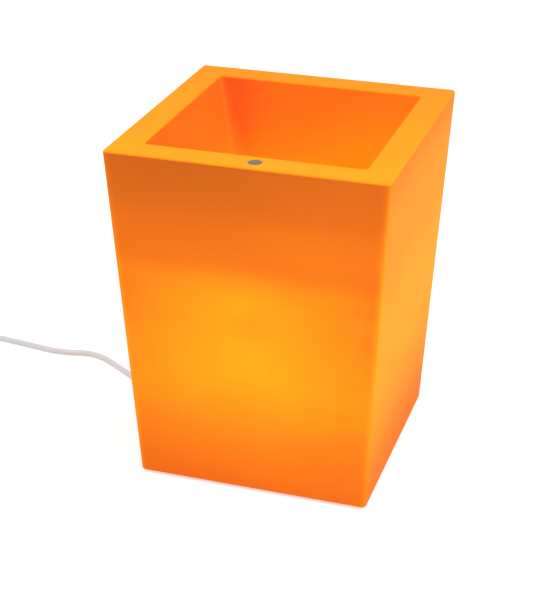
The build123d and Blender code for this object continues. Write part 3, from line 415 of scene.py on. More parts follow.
# The mould leaves a fine, soft grain, which makes the skin satin.
grain = add(
    tree, "ShaderNodeTexNoise",
    {"Vector": place.outputs["Object"], "Scale": 1000 / SKIN_GRAIN_MM, "Detail": 3.0, "Roughness": 0.6},
)
rough = add(
    tree, "ShaderNodeMapRange",
    {
        0: grain.outputs["Fac"], 1: NOISE_SPAN[0], 2: NOISE_SPAN[1],
        3: SKIN_ROUGHNESS - SKIN_ROUGHNESS_SPREAD, 4: SKIN_ROUGHNESS + SKIN_ROUGHNESS_SPREAD,
    },
)
skin = add(
    tree, "ShaderNodeBump", {"Strength": 0.12, "Distance": SKIN_GRAIN_DEPTH, "Height": grain.outputs["Fac"]},
)
pot_shader = add(
    tree, "ShaderNodeBsdfPrincipled",
    {
        "Base Color": pigment.outputs[2], "Roughness": rough.outputs[0], "IOR": 1.5,
        "Specular IOR Level": 0.01, "Normal": skin.outputs[0],
        "Emission Color": glow_colour.outputs[2], "Emission Strength": GLOW_STRENGTH,
    },
)
add(tree, "ShaderNodeOutputMaterial", {"Surface": pot_shader.outputs[0]})
finish(pot_material, "planter_shell", "pot_base")


# Metal disc: a small plain plate of stainless steel, turned on a lathe and let into the front rim.
# The turning leaves rings round its middle, and its edge is a little lighter. The steel's dark green-grey
# colour is a painted reflection of the surroundings it mirrors.
METAL_CLOUDS_IN_A_METRE = 120.0
METAL_ROUGHNESS_SPREAD = 0.08
METAL_MARK_DEPTH = 0.00004


def metal(name, dark, light, roughness, scratch_mm, lines=(1.0, 1.0, 1.0)):
    """Bare metal: a colour that clouds a little, and fine marks that may run along one way."""
    made, tree = new_material(name)
    place = add(tree, "ShaderNodeTexCoord")
    clouds = add(
        tree, "ShaderNodeTexNoise",
        {"Vector": place.outputs["Object"], "Scale": METAL_CLOUDS_IN_A_METRE, "Detail": 3.0, "Roughness": 0.6},
    )
    colour = add(
        tree, "ShaderNodeMix", {0: clouds.outputs["Fac"], 6: linear(dark), 7: linear(light)}, data_type="RGBA",
    )
    along = add(tree, "ShaderNodeMapping", {"Vector": place.outputs["Object"], "Scale": lines})
    marks = add(
        tree, "ShaderNodeTexNoise",
        {"Vector": along.outputs[0], "Scale": 1000 / scratch_mm, "Detail": 3.0, "Roughness": 0.6},
    )
    rough = add(
        tree, "ShaderNodeMapRange",
        {
            0: marks.outputs["Fac"], 1: NOISE_SPAN[0], 2: NOISE_SPAN[1],
            3: roughness - METAL_ROUGHNESS_SPREAD, 4: roughness + METAL_ROUGHNESS_SPREAD,
        },
    )
    skin = add(
        tree, "ShaderNodeBump", {"Strength": 0.25, "Distance": METAL_MARK_DEPTH, "Height": marks.outputs["Fac"]},
    )
    shader = add(
        tree, "ShaderNodeBsdfPrincipled",
        {"Base Color": colour.outputs[2], "Metallic": 1.0, "Roughness": rough.outputs[0], "Normal": skin.outputs[0]},
    )
    add(tree, "ShaderNodeOutputMaterial", {"Surface": shader.outputs[0]})
    return made


# The rings of a lathe are finer, and are drawn about 3 mm apart so that they show. A wave texture of scale 1
# has its rings 2 pi / 20 metres apart.
RING_PITCH_MM = 3.1416
RING_DEPTH = 0.00008
RING_SCALE = 2 * math.pi / 20 * 1000 / RING_PITCH_MM
DISC_CLOUDS_IN_A_METRE = 400.0
# Painted reflection: the steel is coloured dark green-grey for the surroundings it mirrors.
DISC_DARK = "#656955"
DISC_LIGHT = "#7D816B"
DISC_LIGHTER_EDGE = "#9A9C88"
DISC_ROUGHNESS = (0.32, 0.46)
LIGHTER_EDGE_FROM = 0.86
LIGHTER_EDGE_FADE = 0.03

disc_low, disc_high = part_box("rim_disc")
disc_middle = (disc_low + disc_high) / 2
disc_radius = (disc_high.x - disc_low.x) / 2
disc_material, tree = new_material("turned_stainless_steel")
place = add(tree, "ShaderNodeTexCoord")
centred = add(tree, "ShaderNodeMapping", {"Vector": place.outputs["Object"], "Location": tuple(-disc_middle)})
rings = add(
    tree, "ShaderNodeTexWave",
    {"Vector": centred.outputs[0], "Scale": RING_SCALE, "Distortion": 0.6, "Detail": 1.0},
    wave_type="RINGS", rings_direction="Z",
)
clouds = add(
    tree, "ShaderNodeTexNoise",
    {"Vector": place.outputs["Object"], "Scale": DISC_CLOUDS_IN_A_METRE, "Detail": 3.0, "Roughness": 0.6},
)
plate_colour = add(
    tree, "ShaderNodeMix", {0: clouds.outputs["Fac"], 6: linear(DISC_DARK), 7: linear(DISC_LIGHT)},
    data_type="RGBA",
)
from_middle = add(tree, "ShaderNodeVectorMath", {0: centred.outputs[0]}, operation="LENGTH")
at_edge = add(
    tree, "ShaderNodeMapRange",
    {
        0: from_middle.outputs["Value"],
        1: disc_radius * LIGHTER_EDGE_FROM, 2: disc_radius * (LIGHTER_EDGE_FROM + LIGHTER_EDGE_FADE),
    },
)
colour = add(
    tree, "ShaderNodeMix", {0: at_edge.outputs[0], 6: plate_colour.outputs[2], 7: linear(DISC_LIGHTER_EDGE)},
    data_type="RGBA",
)
rough = add(
    tree, "ShaderNodeMapRange", {0: rings.outputs["Fac"], 3: DISC_ROUGHNESS[0], 4: DISC_ROUGHNESS[1]},
)
turned = add(tree, "ShaderNodeBump", {"Strength": 0.5, "Distance": RING_DEPTH, "Height": rings.outputs["Fac"]})
steel = add(
    tree, "ShaderNodeBsdfPrincipled",
    {
        "Base Color": colour.outputs[2], "Metallic": 1.0, "Roughness": rough.outputs[0],
        "Normal": turned.outputs[0],
    },
)
add(tree, "ShaderNodeOutputMaterial", {"Surface": steel.outputs[0]})
finish(disc_material, "rim_disc")


# Rubber feet: four soft black discs pushed into sockets of the base. Rings are moulded into their soles
# so that they grip the floor. The rubber is dull.
PLASTIC_CLOUDS_IN_A_METRE = 60.0
PLASTIC_ROUGHNESS_SPREAD = 0.06
FACING = 0.9
FLAT_SOLE = 0.999


def plastic(name, dark, light, roughness, grain_mm, grain_depth_mm, ior=1.5):
    """Moulded or extruded plastic or rubber: a pigment that clouds a little and a fine grain in its skin."""
    made, tree = new_material(name)
    place = add(tree, "ShaderNodeTexCoord")
    clouds = add(
        tree, "ShaderNodeTexNoise",
        {"Vector": place.outputs["Object"], "Scale": PLASTIC_CLOUDS_IN_A_METRE, "Detail": 2.0, "Roughness": 0.5},
    )
    pigment = add(
        tree, "ShaderNodeMix", {0: clouds.outputs["Fac"], 6: linear(dark), 7: linear(light)}, data_type="RGBA",
    )
    grain = add(
        tree, "ShaderNodeTexNoise",
        {"Vector": place.outputs["Object"], "Scale": 1000 / grain_mm, "Detail": 3.0, "Roughness": 0.6},
    )
    rough = add(
        tree, "ShaderNodeMapRange",
        {
            0: grain.outputs["Fac"], 1: NOISE_SPAN[0], 2: NOISE_SPAN[1],
            3: roughness - PLASTIC_ROUGHNESS_SPREAD, 4: roughness + PLASTIC_ROUGHNESS_SPREAD,
        },
    )
    skin = add(
        tree, "ShaderNodeBump", {"Strength": 0.3, "Distance": grain_depth_mm / 1000, "Height": grain.outputs["Fac"]},
    )
    shader = add(
        tree, "ShaderNodeBsdfPrincipled",
        {"Base Color": pigment.outputs[2], "Roughness": rough.outputs[0], "IOR": ior, "Normal": skin.outputs[0]},
    )
    add(tree, "ShaderNodeOutputMaterial", {"Surface": shader.outputs[0]})
    return made


def pick(part, test):
    """In edit mode, selects the faces whose middle and normal pass a test."""
    bpy.ops.mesh.select_mode(type="FACE")
    bpy.ops.mesh.select_all(action="DESELECT")
    mesh = bmesh.from_edit_mesh(part.data)
    for face in mesh.faces:
        face.select_set(test(face.calc_center_median(), face.normal))
    bmesh.update_edit_mesh(part.data)


def pick_long_edges(part, axis, length):
    """In edit mode, selects the edges that run on by more than a length along an axis."""
    bpy.ops.mesh.select_mode(type="EDGE")
    bpy.ops.mesh.select_all(action="DESELECT")
    mesh = bmesh.from_edit_mesh(part.data)
    for edge in mesh.edges:
        edge.select_set(abs(edge.verts[0].co[axis] - edge.verts[1].co[axis]) > length)
    bmesh.update_edit_mesh(part.data)


def raise_by(distance):
    """In edit mode, extrudes the selected faces straight up, or down for less than nothing."""
    bpy.ops.mesh.extrude_region_move(TRANSFORM_OT_translate={"value": (0, 0, distance)})


def joined(name, parts):
    """Several parts as one object."""
    bpy.ops.object.select_all(action="DESELECT")
    for part in parts:
        part.select_set(True)
    bpy.context.view_layer.objects.active = parts[0]
    if len(parts) > 1:
        bpy.ops.object.join()
    parts[0].name = name
    return parts[0]


def settle(part, body, slot, material, *stands_for, sharp=35):
    """Puts a part's place in its mesh, smooths it, gives it its finish and body, and hides the CAD parts it stands
    for.
    """
    bpy.ops.object.select_all(action="DESELECT")
    part.select_set(True)
    bpy.context.view_layer.objects.active = part
    bpy.ops.object.transform_apply(location=True, rotation=True, scale=True)
    bpy.ops.object.shade_smooth_by_angle(angle=math.radians(sharp))
    if not part.data.materials:
        part.data.materials.append(material)
    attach(part, body)
    if stands_for:
        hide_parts(*stands_for)
    return part


FOOT_RADIUS = 0.010
FOOT_FROM_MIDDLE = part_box("rubber_feet")[1].x - FOOT_RADIUS
FOOT_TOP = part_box("rubber_feet")[1].z
FOOT_EDGE = 0.0008
SOLE_RINGS = 3
SOLE_RING = 0.0014
SOLE_RING_DEPTH = 0.0006

rubber = plastic("moulded_black_rubber", "#141414", "#1E1E1E", 0.62, 0.8, 0.03, ior=1.52)
feet = []
for side_x in (-1, 1):
    for side_y in (-1, 1):
        bpy.ops.mesh.primitive_cylinder_add(
            vertices=48, radius=FOOT_RADIUS, depth=FOOT_TOP,
            location=(side_x * FOOT_FROM_MIDDLE, side_y * FOOT_FROM_MIDDLE, FOOT_TOP / 2),
        )
        foot = bpy.context.object
        bpy.ops.object.mode_set(mode="EDIT")
        pick(foot, lambda middle, normal: normal.z < -FACING)
        bpy.ops.mesh.bevel(offset=FOOT_EDGE, segments=3, affect="EDGES")
        pick(foot, lambda middle, normal: normal.z < -FLAT_SOLE)
        for ring in range(SOLE_RINGS):
            bpy.ops.mesh.inset(thickness=SOLE_RING)
            raise_by(SOLE_RING_DEPTH)
            bpy.ops.mesh.inset(thickness=SOLE_RING / 2)
            raise_by(-SOLE_RING_DEPTH)
        bpy.ops.object.mode_set(mode="OBJECT")
        feet.append(foot)
settle(joined("foot_set", feet), "pot", "foot_rubber", rubber, "rubber_feet")


# Base cover: a dished moulding of pale polypropylene that closes the opening under the pot, with ribs under
# its flange and a ring pressed up in its floor. Its mould was spark-eroded, which leaves a fine matt skin.
cover_material = plastic("spark_textured_polypropylene", "#D2D2CC", "#DADAD5", 0.55, 0.9, 0.05, ior=1.49)
finish(cover_material, "base_cover")


# Gasket of the cover: a flat ring punched from closed-cell foam, pressed between the cover and the base.
# Its cut cells make it dull and a little rough.
gasket_material = plastic("closed_cell_foam", "#26272A", "#303135", 0.85, 1.2, 0.25, ior=1.4)
finish(gasket_material, "cover_gasket")


# Inserts and screws of the cover: turned brass inserts pressed into the base's bosses, and six zinc-plated
# pan-head screws with a cross recess, driven from below. The brass is bright from the lathe, and the zinc is
# a cold, slightly blue grey.
RECESS_WIDTH_SHARE = 0.26
RECESS_REACH_SHARE = 0.52
RECESS_DEPTH_SHARE = 1.1
SCREW_POINT_SHARE = 0.3
HEAD_ROUNDING_SHARE = 0.5


def cross_head_screw(head_radius, head_height, shaft_radius, length, place, upwards=False):
    """A screw with its head below its seat at height 0 and its shaft above, or turned over for upwards."""
    arm = head_radius * RECESS_WIDTH_SHARE
    reach = head_radius * RECESS_REACH_SHARE
    bpy.ops.mesh.primitive_cylinder_add(
        vertices=32, radius=head_radius, depth=head_height, location=(0, 0, -head_height / 2),
    )
    screw = bpy.context.object
    bpy.ops.object.mode_set(mode="EDIT")
    pick(screw, lambda middle, normal: normal.z > FACING)
    bpy.ops.mesh.inset(thickness=head_radius - shaft_radius)
    raise_by(length - shaft_radius)
    raise_by(shaft_radius)
    bpy.ops.transform.resize(value=(SCREW_POINT_SHARE, SCREW_POINT_SHARE, 1))
    pick(screw, lambda middle, normal: normal.z < -FACING)
    bpy.ops.mesh.bevel(offset=head_height * HEAD_ROUNDING_SHARE, segments=4, affect="EDGES")
    bpy.ops.object.mode_set(mode="OBJECT")

    bpy.ops.mesh.primitive_cube_add(size=arm, location=(0, 0, -head_height))
    cross = bpy.context.object
    bpy.ops.object.mode_set(mode="EDIT")
    for x, y in ((1, 0), (-1, 0), (0, 1), (0, -1)):
        pick(cross, lambda middle, normal: normal.x * x + normal.y * y > FACING and middle.length < arm)
        bpy.ops.mesh.extrude_region_move(
            TRANSFORM_OT_translate={"value": (x * (reach - arm / 2), y * (reach - arm / 2), 0)},
        )
    bpy.ops.mesh.select_all(action="SELECT")
    bpy.ops.transform.resize(value=(1, 1, head_height * RECESS_DEPTH_SHARE / arm))
    bpy.ops.object.mode_set(mode="OBJECT")
    recess = screw.modifiers.new("cross_recess", "BOOLEAN")
    recess.operation = "DIFFERENCE"
    recess.object = cross
    bpy.context.view_layer.objects.active = screw
    bpy.ops.object.modifier_apply(modifier=recess.name)
    bpy.data.objects.remove(cross)

    if upwards:
        screw.data.transform(Matrix.Rotation(math.pi, 4, "X"))
    screw.location = place
    return screw


def copied(part, offset):
    """A copy of a part with its own mesh, moved on from it."""
    copy = part.copy()
    copy.data = part.data.copy()
    bpy.context.scene.collection.objects.link(copy)
    copy.location = Vector(part.location) + Vector(offset)
    return copy


COVER_SCREWS = 6
COVER_SCREW_CIRCLE = 0.090
COVER_SCREW_HEAD_RADIUS = 0.004
COVER_SCREW_HEAD_HEIGHT = 0.0026
COVER_SCREW_RADIUS = 0.002
COVER_SCREW_LENGTH = 0.012

brass = metal("turned_brass", "#B08A45", "#C6A25C", 0.30, 0.6)
zinc = metal("zinc_plated_steel", "#A9ADB2", "#C2C6CA", 0.34, 0.8)
finish(brass, "cover_inserts")
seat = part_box("cover_screws")[0].z + COVER_SCREW_HEAD_HEIGHT
first = cross_head_screw(
    COVER_SCREW_HEAD_RADIUS, COVER_SCREW_HEAD_HEIGHT, COVER_SCREW_RADIUS, COVER_SCREW_LENGTH, (0, 0, seat),
)
cover_screws = []
for number in range(COVER_SCREWS):
    angle = 2 * math.pi * (number + 0.5) / COVER_SCREWS
    cover_screws.append(
        copied(first, (COVER_SCREW_CIRCLE * math.cos(angle), COVER_SCREW_CIRCLE * math.sin(angle), 0))
    )
bpy.data.objects.remove(first)
settle(joined("cover_screw_set", cover_screws), "pot", "screw_steel", zinc, "cover_screws")


# Grommet: soft pale rubber with a dull skin, snapped into the wall of the dish, with a sleeve that tapers
# along the cord and keeps it from being bent sharply.
grommet_material = plastic("moulded_pale_rubber", "#D3D3CF", "#DCDCD8", 0.58, 0.7, 0.03, ior=1.52)
finish(grommet_material, "cord_grommet")


# Cord clamp: a bridge of moulded nylon, slightly waxy to look at, held down over the cord by two screws so
# that a pull on the lead doesn't reach the wires.
CLAMP_SCREW_RADIUS = 0.0015
CLAMP_SCREW_LENGTH = 0.0089
CLAMP_SCREW_HEAD_RADIUS = 0.0027
CLAMP_SCREW_HEAD_HEIGHT = 0.0018

clamp_material = plastic("moulded_nylon", "#D8D8D2", "#E0E0DA", 0.42, 0.8, 0.02, ior=1.53)
finish(clamp_material, "cord_clamp")
low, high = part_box("clamp_screws")
clamp_screws = [
    cross_head_screw(
        CLAMP_SCREW_HEAD_RADIUS, CLAMP_SCREW_HEAD_HEIGHT, CLAMP_SCREW_RADIUS, CLAMP_SCREW_LENGTH,
        ((low.x + high.x) / 2, y, high.z - CLAMP_SCREW_HEAD_HEIGHT), upwards=True,
    )
    for y in (low.y + CLAMP_SCREW_HEAD_RADIUS, high.y - CLAMP_SCREW_HEAD_RADIUS)
]
settle(joined("clamp_screw_set", clamp_screws), "pot", "screw_steel", zinc, "clamp_screws")


# Mains lead inside the dish: the end of the round white sheath, and the brown and blue wires that go on
# from it, turn up under the bracket and run through the nipple to the lampholder's terminals. The extruded
# plastic is smooth, with a soft gloss.
def lay_cord(name, points, radius, material):
    """A round cord as a smooth curve, with the points of its route as the curve's control points."""
    curve = bpy.data.curves.new(name, "CURVE")
    curve.dimensions = "3D"
    curve.bevel_depth = radius
    curve.bevel_resolution = 6
    curve.resolution_u = 16
    curve.use_fill_caps = True
    spline = curve.splines.new("NURBS")
    spline.points.add(len(points) - 1)
    for point, at in zip(spline.points, points):
        point.co = (*at, 1)
    spline.order_u = 3
    spline.use_endpoint_u = True
    made = bpy.data.objects.new(name, curve)
    bpy.context.scene.collection.objects.link(made)
    curve.materials.append(material)
    return made


CORD_RADIUS = 0.0036
CORD_HEIGHT = 0.0125
TAIL_END = -0.026
TAIL_POINTS = [(x, 0, CORD_HEIGHT) for x in (-0.094, -0.072, -0.049, TAIL_END)]
WIRE_RADIUS = 0.0011
WIRE_SPREAD = 0.0019
WIRE_PARTING = -0.016
WIRE_BEND = 0.0045
WIRE_UPRIGHT = (0.024, 0.0285)
TERMINAL_SPREAD = 0.006
TERMINAL_DEPTH = 0.0048
TERMINAL_BEND = (-0.001, 0.0015)
TERMINAL_BEND_SHARE = 0.95

# The sheath's white has a painted cool tint, which cancels the pot's warm light on it.
sheath_material = plastic("extruded_white_pvc", "#E4EAED", "#ECF1F4", 0.40, 2.0, 0.02, ior=1.53)
tail = lay_cord("lead_in_dish", TAIL_POINTS, CORD_RADIUS, sheath_material)
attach(tail, "pot")
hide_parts("cord_tail")

wire_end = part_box("live_wire")[1].z
turn_z = wire_end - TERMINAL_DEPTH
for name, node, side, slot, dark, light in [
    ("brown_wire", "live_wire", 1, "live_insulation", "#4A2812", "#5A3218"),
    ("blue_wire", "neutral_wire", -1, "neutral_insulation", "#163E86", "#1E4A98"),
]:
    insulation = plastic(f"{name}_insulation", dark, light, 0.38, 1.5, 0.01, ior=1.53)
    near = side * WIRE_SPREAD
    far = side * TERMINAL_SPREAD
    wire = lay_cord(
        name,
        [
            (TAIL_END, near, CORD_HEIGHT), (WIRE_PARTING, near, CORD_HEIGHT), (-WIRE_BEND, near, CORD_HEIGHT),
            (0, near, CORD_HEIGHT + WIRE_BEND), (0, near, WIRE_UPRIGHT[0]), (0, near, WIRE_UPRIGHT[1]),
            (0, far * TERMINAL_BEND_SHARE, turn_z + TERMINAL_BEND[0]), (0, far, turn_z + TERMINAL_BEND[1]),
            (0, far, wire_end),
        ],
        WIRE_RADIUS, insulation,
    )
    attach(wire, "pot")
    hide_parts(node)


# Bracket: a strip of zinc-plated steel, pressed into a hat shape and screwed to two bosses of the cover.
# The rolling marks run along the strip.
BRACKET_SCREW_RADIUS = 0.00175
BRACKET_SCREW_LENGTH = 0.0074
BRACKET_SCREW_HEAD_RADIUS = 0.0035
BRACKET_SCREW_HEAD_HEIGHT = 0.00175

strip_steel = metal("pressed_zinc_plated_strip", "#9EA2A6", "#B4B8BC", 0.40, 0.5, lines=(1.0, 0.06, 1.0))
finish(strip_steel, "holder_bracket")
low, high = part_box("bracket_screws")
bracket_screws = [
    cross_head_screw(
        BRACKET_SCREW_HEAD_RADIUS, BRACKET_SCREW_HEAD_HEIGHT, BRACKET_SCREW_RADIUS, BRACKET_SCREW_LENGTH,
        (0, y, high.z - BRACKET_SCREW_HEAD_HEIGHT), upwards=True,
    )
    for y in (low.y + BRACKET_SCREW_HEAD_RADIUS, high.y - BRACKET_SCREW_HEAD_RADIUS)
]
settle(joined("bracket_screw_set", bracket_screws), "pot", "screw_steel", zinc, "bracket_screws")


# Nipple and nut: a turned brass tube that the wires pass, and a zinc-plated hexagon nut on it, which
# together hold the lampholder on the bracket.
finish(brass, "holder_nipple")
finish(zinc, "nipple_nut")


# Lampholder: a dome and a skirt of white thermoset, moulded to a soft gloss, round a dull ceramic block.
# The screw shell and the tongue under the lamp are pressed from thin brass, smooth and yellow.
holder_material = plastic("moulded_white_thermoset", "#DEDBD1", "#E5E2D8", 0.28, 1.6, 0.01, ior=1.6)
ceramic = plastic("unglazed_ceramic", "#DBD7CC", "#E6E3D9", 0.70, 0.5, 0.03, ior=1.55)
sheet_brass = metal("pressed_sheet_brass", "#B8934B", "#CBA862", 0.28, 0.9)
finish(holder_material, "holder_dome", "holder_skirt")
finish(ceramic, "holder_block")
finish(sheet_brass, "screw_shell", "centre_contact")


# Screw cap of the lamp: a thin, pale aluminium sleeve with a round thread rolled into it, plain at its ends
# where it grips the glossy black glass below and the housing above. A brass dot is the end contact.
CAP_RADIUS = 0.0130
CAP_WALL = 0.0005
CAP_FLARE_HEIGHT = 0.003
CAP_FLARE = 0.3
CAP_RINGS = 83
THREAD_PITCH = 0.003629
THREAD_DEPTH = 0.0009
THREAD_START = 0.0030
THREAD_END = 0.0072
THREAD_FADE = 0.0016

low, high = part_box("lamp_cap")
cap_height = high.z - low.z
bpy.ops.mesh.primitive_cylinder_add(
    vertices=64, radius=CAP_RADIUS, depth=cap_height, end_fill_type="NOTHING",
    location=(0, 0, (low.z + high.z) / 2),
)
cap = bpy.context.object
bpy.ops.object.mode_set(mode="EDIT")
pick_long_edges(cap, 2, cap_height / 2)
bpy.ops.mesh.subdivide(number_cuts=CAP_RINGS)
bpy.ops.object.mode_set(mode="OBJECT")
for vertex in cap.data.vertices:
    rise = vertex.co.z + cap_height / 2
    turn = math.atan2(vertex.co.y, vertex.co.x)
    fade_in = (rise - THREAD_START) / THREAD_FADE
    fade_out = (cap_height - THREAD_END - rise) / THREAD_FADE
    strength = max(0, min(1, fade_in, fade_out))
    wave = 0.5 - 0.5 * math.cos(2 * math.pi * rise / THREAD_PITCH - turn)
    flare = max(0, rise - (cap_height - CAP_FLARE_HEIGHT)) * CAP_FLARE
    radius = CAP_RADIUS - THREAD_DEPTH * strength * wave + flare
    vertex.co.x = radius * math.cos(turn)
    vertex.co.y = radius * math.sin(turn)
sleeve = cap.modifiers.new("sleeve_wall", "SOLIDIFY")
sleeve.thickness = CAP_WALL
sleeve.offset = -1
bpy.context.view_layer.objects.active = cap
bpy.ops.object.modifier_apply(modifier=sleeve.name)
cap.name = "threaded_cap"
cap_material = metal("rolled_aluminium", "#B9BABB", "#CDCECF", 0.32, 0.7, lines=(1.0, 1.0, 4.0))
settle(cap, "screw_cap", "cap_metal", cap_material, "lamp_cap", sharp=60)

black_glass = plastic("fused_black_glass", "#0B0B0C", "#141415", 0.10, 3.0, 0.01, ior=1.52)
finish(black_glass, "cap_insulator")
finish(sheet_brass, "cap_tip")


# Lamp: a compact fluorescent lamp, its housing moulded in white plastic with a light gloss. The three bent
# glass tubes are smooth and shiny, coated inside with white phosphor, and give a warm white light.
COAT_DARK = "#EDEBE2"
COAT_LIGHT = "#F6F5EE"
COAT_CLOUDS_IN_A_METRE = 90.0
LAMP_LIGHT_WEAK = "#FFE6BC"
LAMP_LIGHT = "#FFEBC8"
LAMP_STRENGTH = 1.5
GLASS_ROUGHNESS = (0.06, 0.14)

housing_material = plastic("moulded_white_pbt", "#E0E0DB", "#E8E8E4", 0.30, 1.8, 0.01, ior=1.57)
finish(housing_material, "ballast_housing")
tube_material, tree = new_material("phosphor_coated_glass")
place = add(tree, "ShaderNodeTexCoord")
coat = add(
    tree, "ShaderNodeTexNoise",
    {"Vector": place.outputs["Object"], "Scale": COAT_CLOUDS_IN_A_METRE, "Detail": 3.0, "Roughness": 0.55},
)
white = add(
    tree, "ShaderNodeMix", {0: coat.outputs["Fac"], 6: linear(COAT_DARK), 7: linear(COAT_LIGHT)},
    data_type="RGBA",
)
light = add(
    tree, "ShaderNodeMix", {0: coat.outputs["Fac"], 6: linear(LAMP_LIGHT_WEAK), 7: linear(LAMP_LIGHT)},
    data_type="RGBA",
)
rough = add(
    tree, "ShaderNodeMapRange", {0: coat.outputs["Fac"], 3: GLASS_ROUGHNESS[0], 4: GLASS_ROUGHNESS[1]},
)
ripple = add(tree, "ShaderNodeBump", {"Strength": 0.1, "Distance": 0.0001, "Height": coat.outputs["Fac"]})
glass = add(
    tree, "ShaderNodeBsdfPrincipled",
    {
        "Base Color": white.outputs[2], "Roughness": rough.outputs[0], "IOR": 1.52, "Normal": ripple.outputs[0],
        "Emission Color": light.outputs[2], "Emission Strength": LAMP_STRENGTH,
    },
)
add(tree, "ShaderNodeOutputMaterial", {"Surface": glass.outputs[0]})
finish(tube_material, "lamp_tubes")


# Mains lead: a round white PVC sheath of 7.2 mm that lies on the floor under its own weight, from the grommet
# under the pot to the switch. It is slack and leaves the pot behind the left wall.
LEAD_POINTS = [
    (-0.094, 0.0, 0.0125),
    (-0.136, 0.0, 0.0125),
    (-0.178, 0.029, 0.0036),
    (-0.214, 0.0565, 0.0036),
    (-0.250, 0.082, 0.0036),
    (-0.298, 0.1115, 0.0036),
    (-0.345, 0.0985, 0.0036),
    (-0.394, 0.106, 0.0036),
    (-0.446, 0.1125, 0.0036),
    (-0.477, 0.111, 0.0036),
    (-0.5015, 0.0965, 0.0036),
    (-0.5155, 0.0725, 0.0036),
    (-0.5166, 0.047, 0.0076),
    (-0.5166, 0.025, 0.0076),
]

lead = lay_cord("mains_lead", LEAD_POINTS, CORD_RADIUS, sheath_material)
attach(lead, "pot")
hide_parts("mains_cord")


# Switch on the lead: two halves moulded in white plastic, held by two screws from below, with a glossier
# rocker in its top and two pressed brass strips inside.
CASE_SCREW_RADIUS = 0.0013
CASE_SCREW_HEAD_RADIUS = 0.0023
CASE_SCREW_HEAD_HEIGHT = 0.0014

case_material = plastic("moulded_white_abs", "#E4E7E8", "#ECEFF0", 0.32, 1.4, 0.012, ior=1.54)
rocker_material = plastic("polished_white_abs", "#D6D9DA", "#DFE2E3", 0.22, 1.8, 0.008, ior=1.54)
finish(case_material, "switch_lower", "switch_upper")
finish(rocker_material, "switch_rocker")
finish(sheet_brass, "switch_contacts")
low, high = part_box("switch_screws")
left, right = low.x + CASE_SCREW_HEAD_RADIUS, high.x - CASE_SCREW_HEAD_RADIUS
near, far = low.y + CASE_SCREW_HEAD_RADIUS, high.y - CASE_SCREW_HEAD_RADIUS
seat = low.z + CASE_SCREW_HEAD_HEIGHT
case_screws = [
    cross_head_screw(CASE_SCREW_HEAD_RADIUS, CASE_SCREW_HEAD_HEIGHT, CASE_SCREW_RADIUS, high.z - seat, (x, y, seat))
    for x, y in ((left, far), (right, near))
]
settle(joined("switch_screw_set", case_screws), "pot", "screw_steel", zinc, "switch_screws")


# Put-away length: the same lead goes on from the switch and is wound into a neat coil of two layers,
# in along the floor and out again on top, and ends at the plug beside it.
COIL_START = Vector((-0.5166, -0.0872, 0.0036))
COIL_FIRST_RADIUS = 0.047
COIL_STEP = 0.0039
COIL_LAYER = 0.0078
COIL_CLIMB = 5
COIL_HALF_TURNS = 10
POINTS_IN_HALF_TURN = 7

coil_points = [
    (-0.5166, -0.031, 0.0076),
    (-0.5166, -0.046, 0.0076),
    (-0.5166, -0.063, 0.0036),
    (-0.5166, -0.080, 0.0036),
]
# The curve runs a little inside its points, so they stand outside the turn by as much.
outside = 1 / math.cos(math.pi / POINTS_IN_HALF_TURN / 2)
here = COIL_START.copy()
radius = COIL_FIRST_RADIUS
for half_turn in range(COIL_HALF_TURNS + 1):
    way = 1 if half_turn % 2 == 0 else -1
    steps = POINTS_IN_HALF_TURN if half_turn < COIL_HALF_TURNS else POINTS_IN_HALF_TURN // 2 + 1
    climb = COIL_LAYER if half_turn == COIL_CLIMB else 0.0
    for step in range(steps):
        angle = math.pi * step / POINTS_IN_HALF_TURN
        coil_points.append((
            here.x + way * radius * (1 - outside * math.cos(angle)),
            here.y - way * radius * outside * math.sin(angle),
            here.z + climb * step / POINTS_IN_HALF_TURN,
        ))
    here = here + Vector((2 * way * radius, 0, climb))
    radius += COIL_STEP if half_turn >= COIL_CLIMB else -COIL_STEP
coil_points += [
    (-0.4546, -0.1342, 0.0114),
    (-0.441, -0.1342, 0.0114),
    (-0.424, -0.136, 0.00685),
    (-0.410, -0.1386, 0.00685),
]
coiled = lay_cord("coiled_lead", coil_points, CORD_RADIUS, sheath_material)
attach(coiled, "pot")
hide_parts("cord_to_coil", "cord_coil", "cord_to_plug")


# Tie of the coil: a flat strip of white plastic with a wire in it, laid round both layers and closed by
# twisting its two ends together on top.
COIL_MIDDLE = (-0.4696, -0.0872)
TIE_WIDTH = 0.0035
TIE_THICKNESS = 0.0005
TIE_INNER = 0.0225
TIE_OUTER = 0.0512
TIE_TOP = 0.0156
TIE_BEND = 0.0045
TIE_TAIL = 0.018
TIE_TAIL_START = 0.001
TIE_TAIL_LIFT = 0.0008
TIE_TAIL_CUTS = 31
TIE_TWIST_DEGREES = 900
TIE_LEAN_DEGREES = 8

tie_material = plastic("coated_wire_tie", "#E2E2E0", "#EBEBE9", 0.45, 1.0, 0.02, ior=1.5)
tie_x = COIL_MIDDLE[0]
tie_y = COIL_MIDDLE[1] + (TIE_INNER + TIE_OUTER) / 2
bpy.ops.mesh.primitive_cube_add(
    size=1, location=(tie_x, tie_y, TIE_TOP / 2), scale=(TIE_WIDTH, TIE_OUTER - TIE_INNER, TIE_TOP),
)
band = bpy.context.object
bpy.ops.object.transform_apply(location=False, rotation=False, scale=True)
bpy.ops.object.mode_set(mode="EDIT")
pick(band, lambda middle, normal: abs(normal.x) > FACING)
bpy.ops.mesh.delete(type="FACE")
pick_long_edges(band, 0, TIE_WIDTH / 2)
bpy.ops.mesh.bevel(offset=TIE_BEND, segments=6, affect="EDGES")
bpy.ops.object.mode_set(mode="OBJECT")
strip = band.modifiers.new("strip", "SOLIDIFY")
strip.thickness = TIE_THICKNESS
strip.offset = -1
bpy.context.view_layer.objects.active = band
bpy.ops.object.modifier_apply(modifier=strip.name)

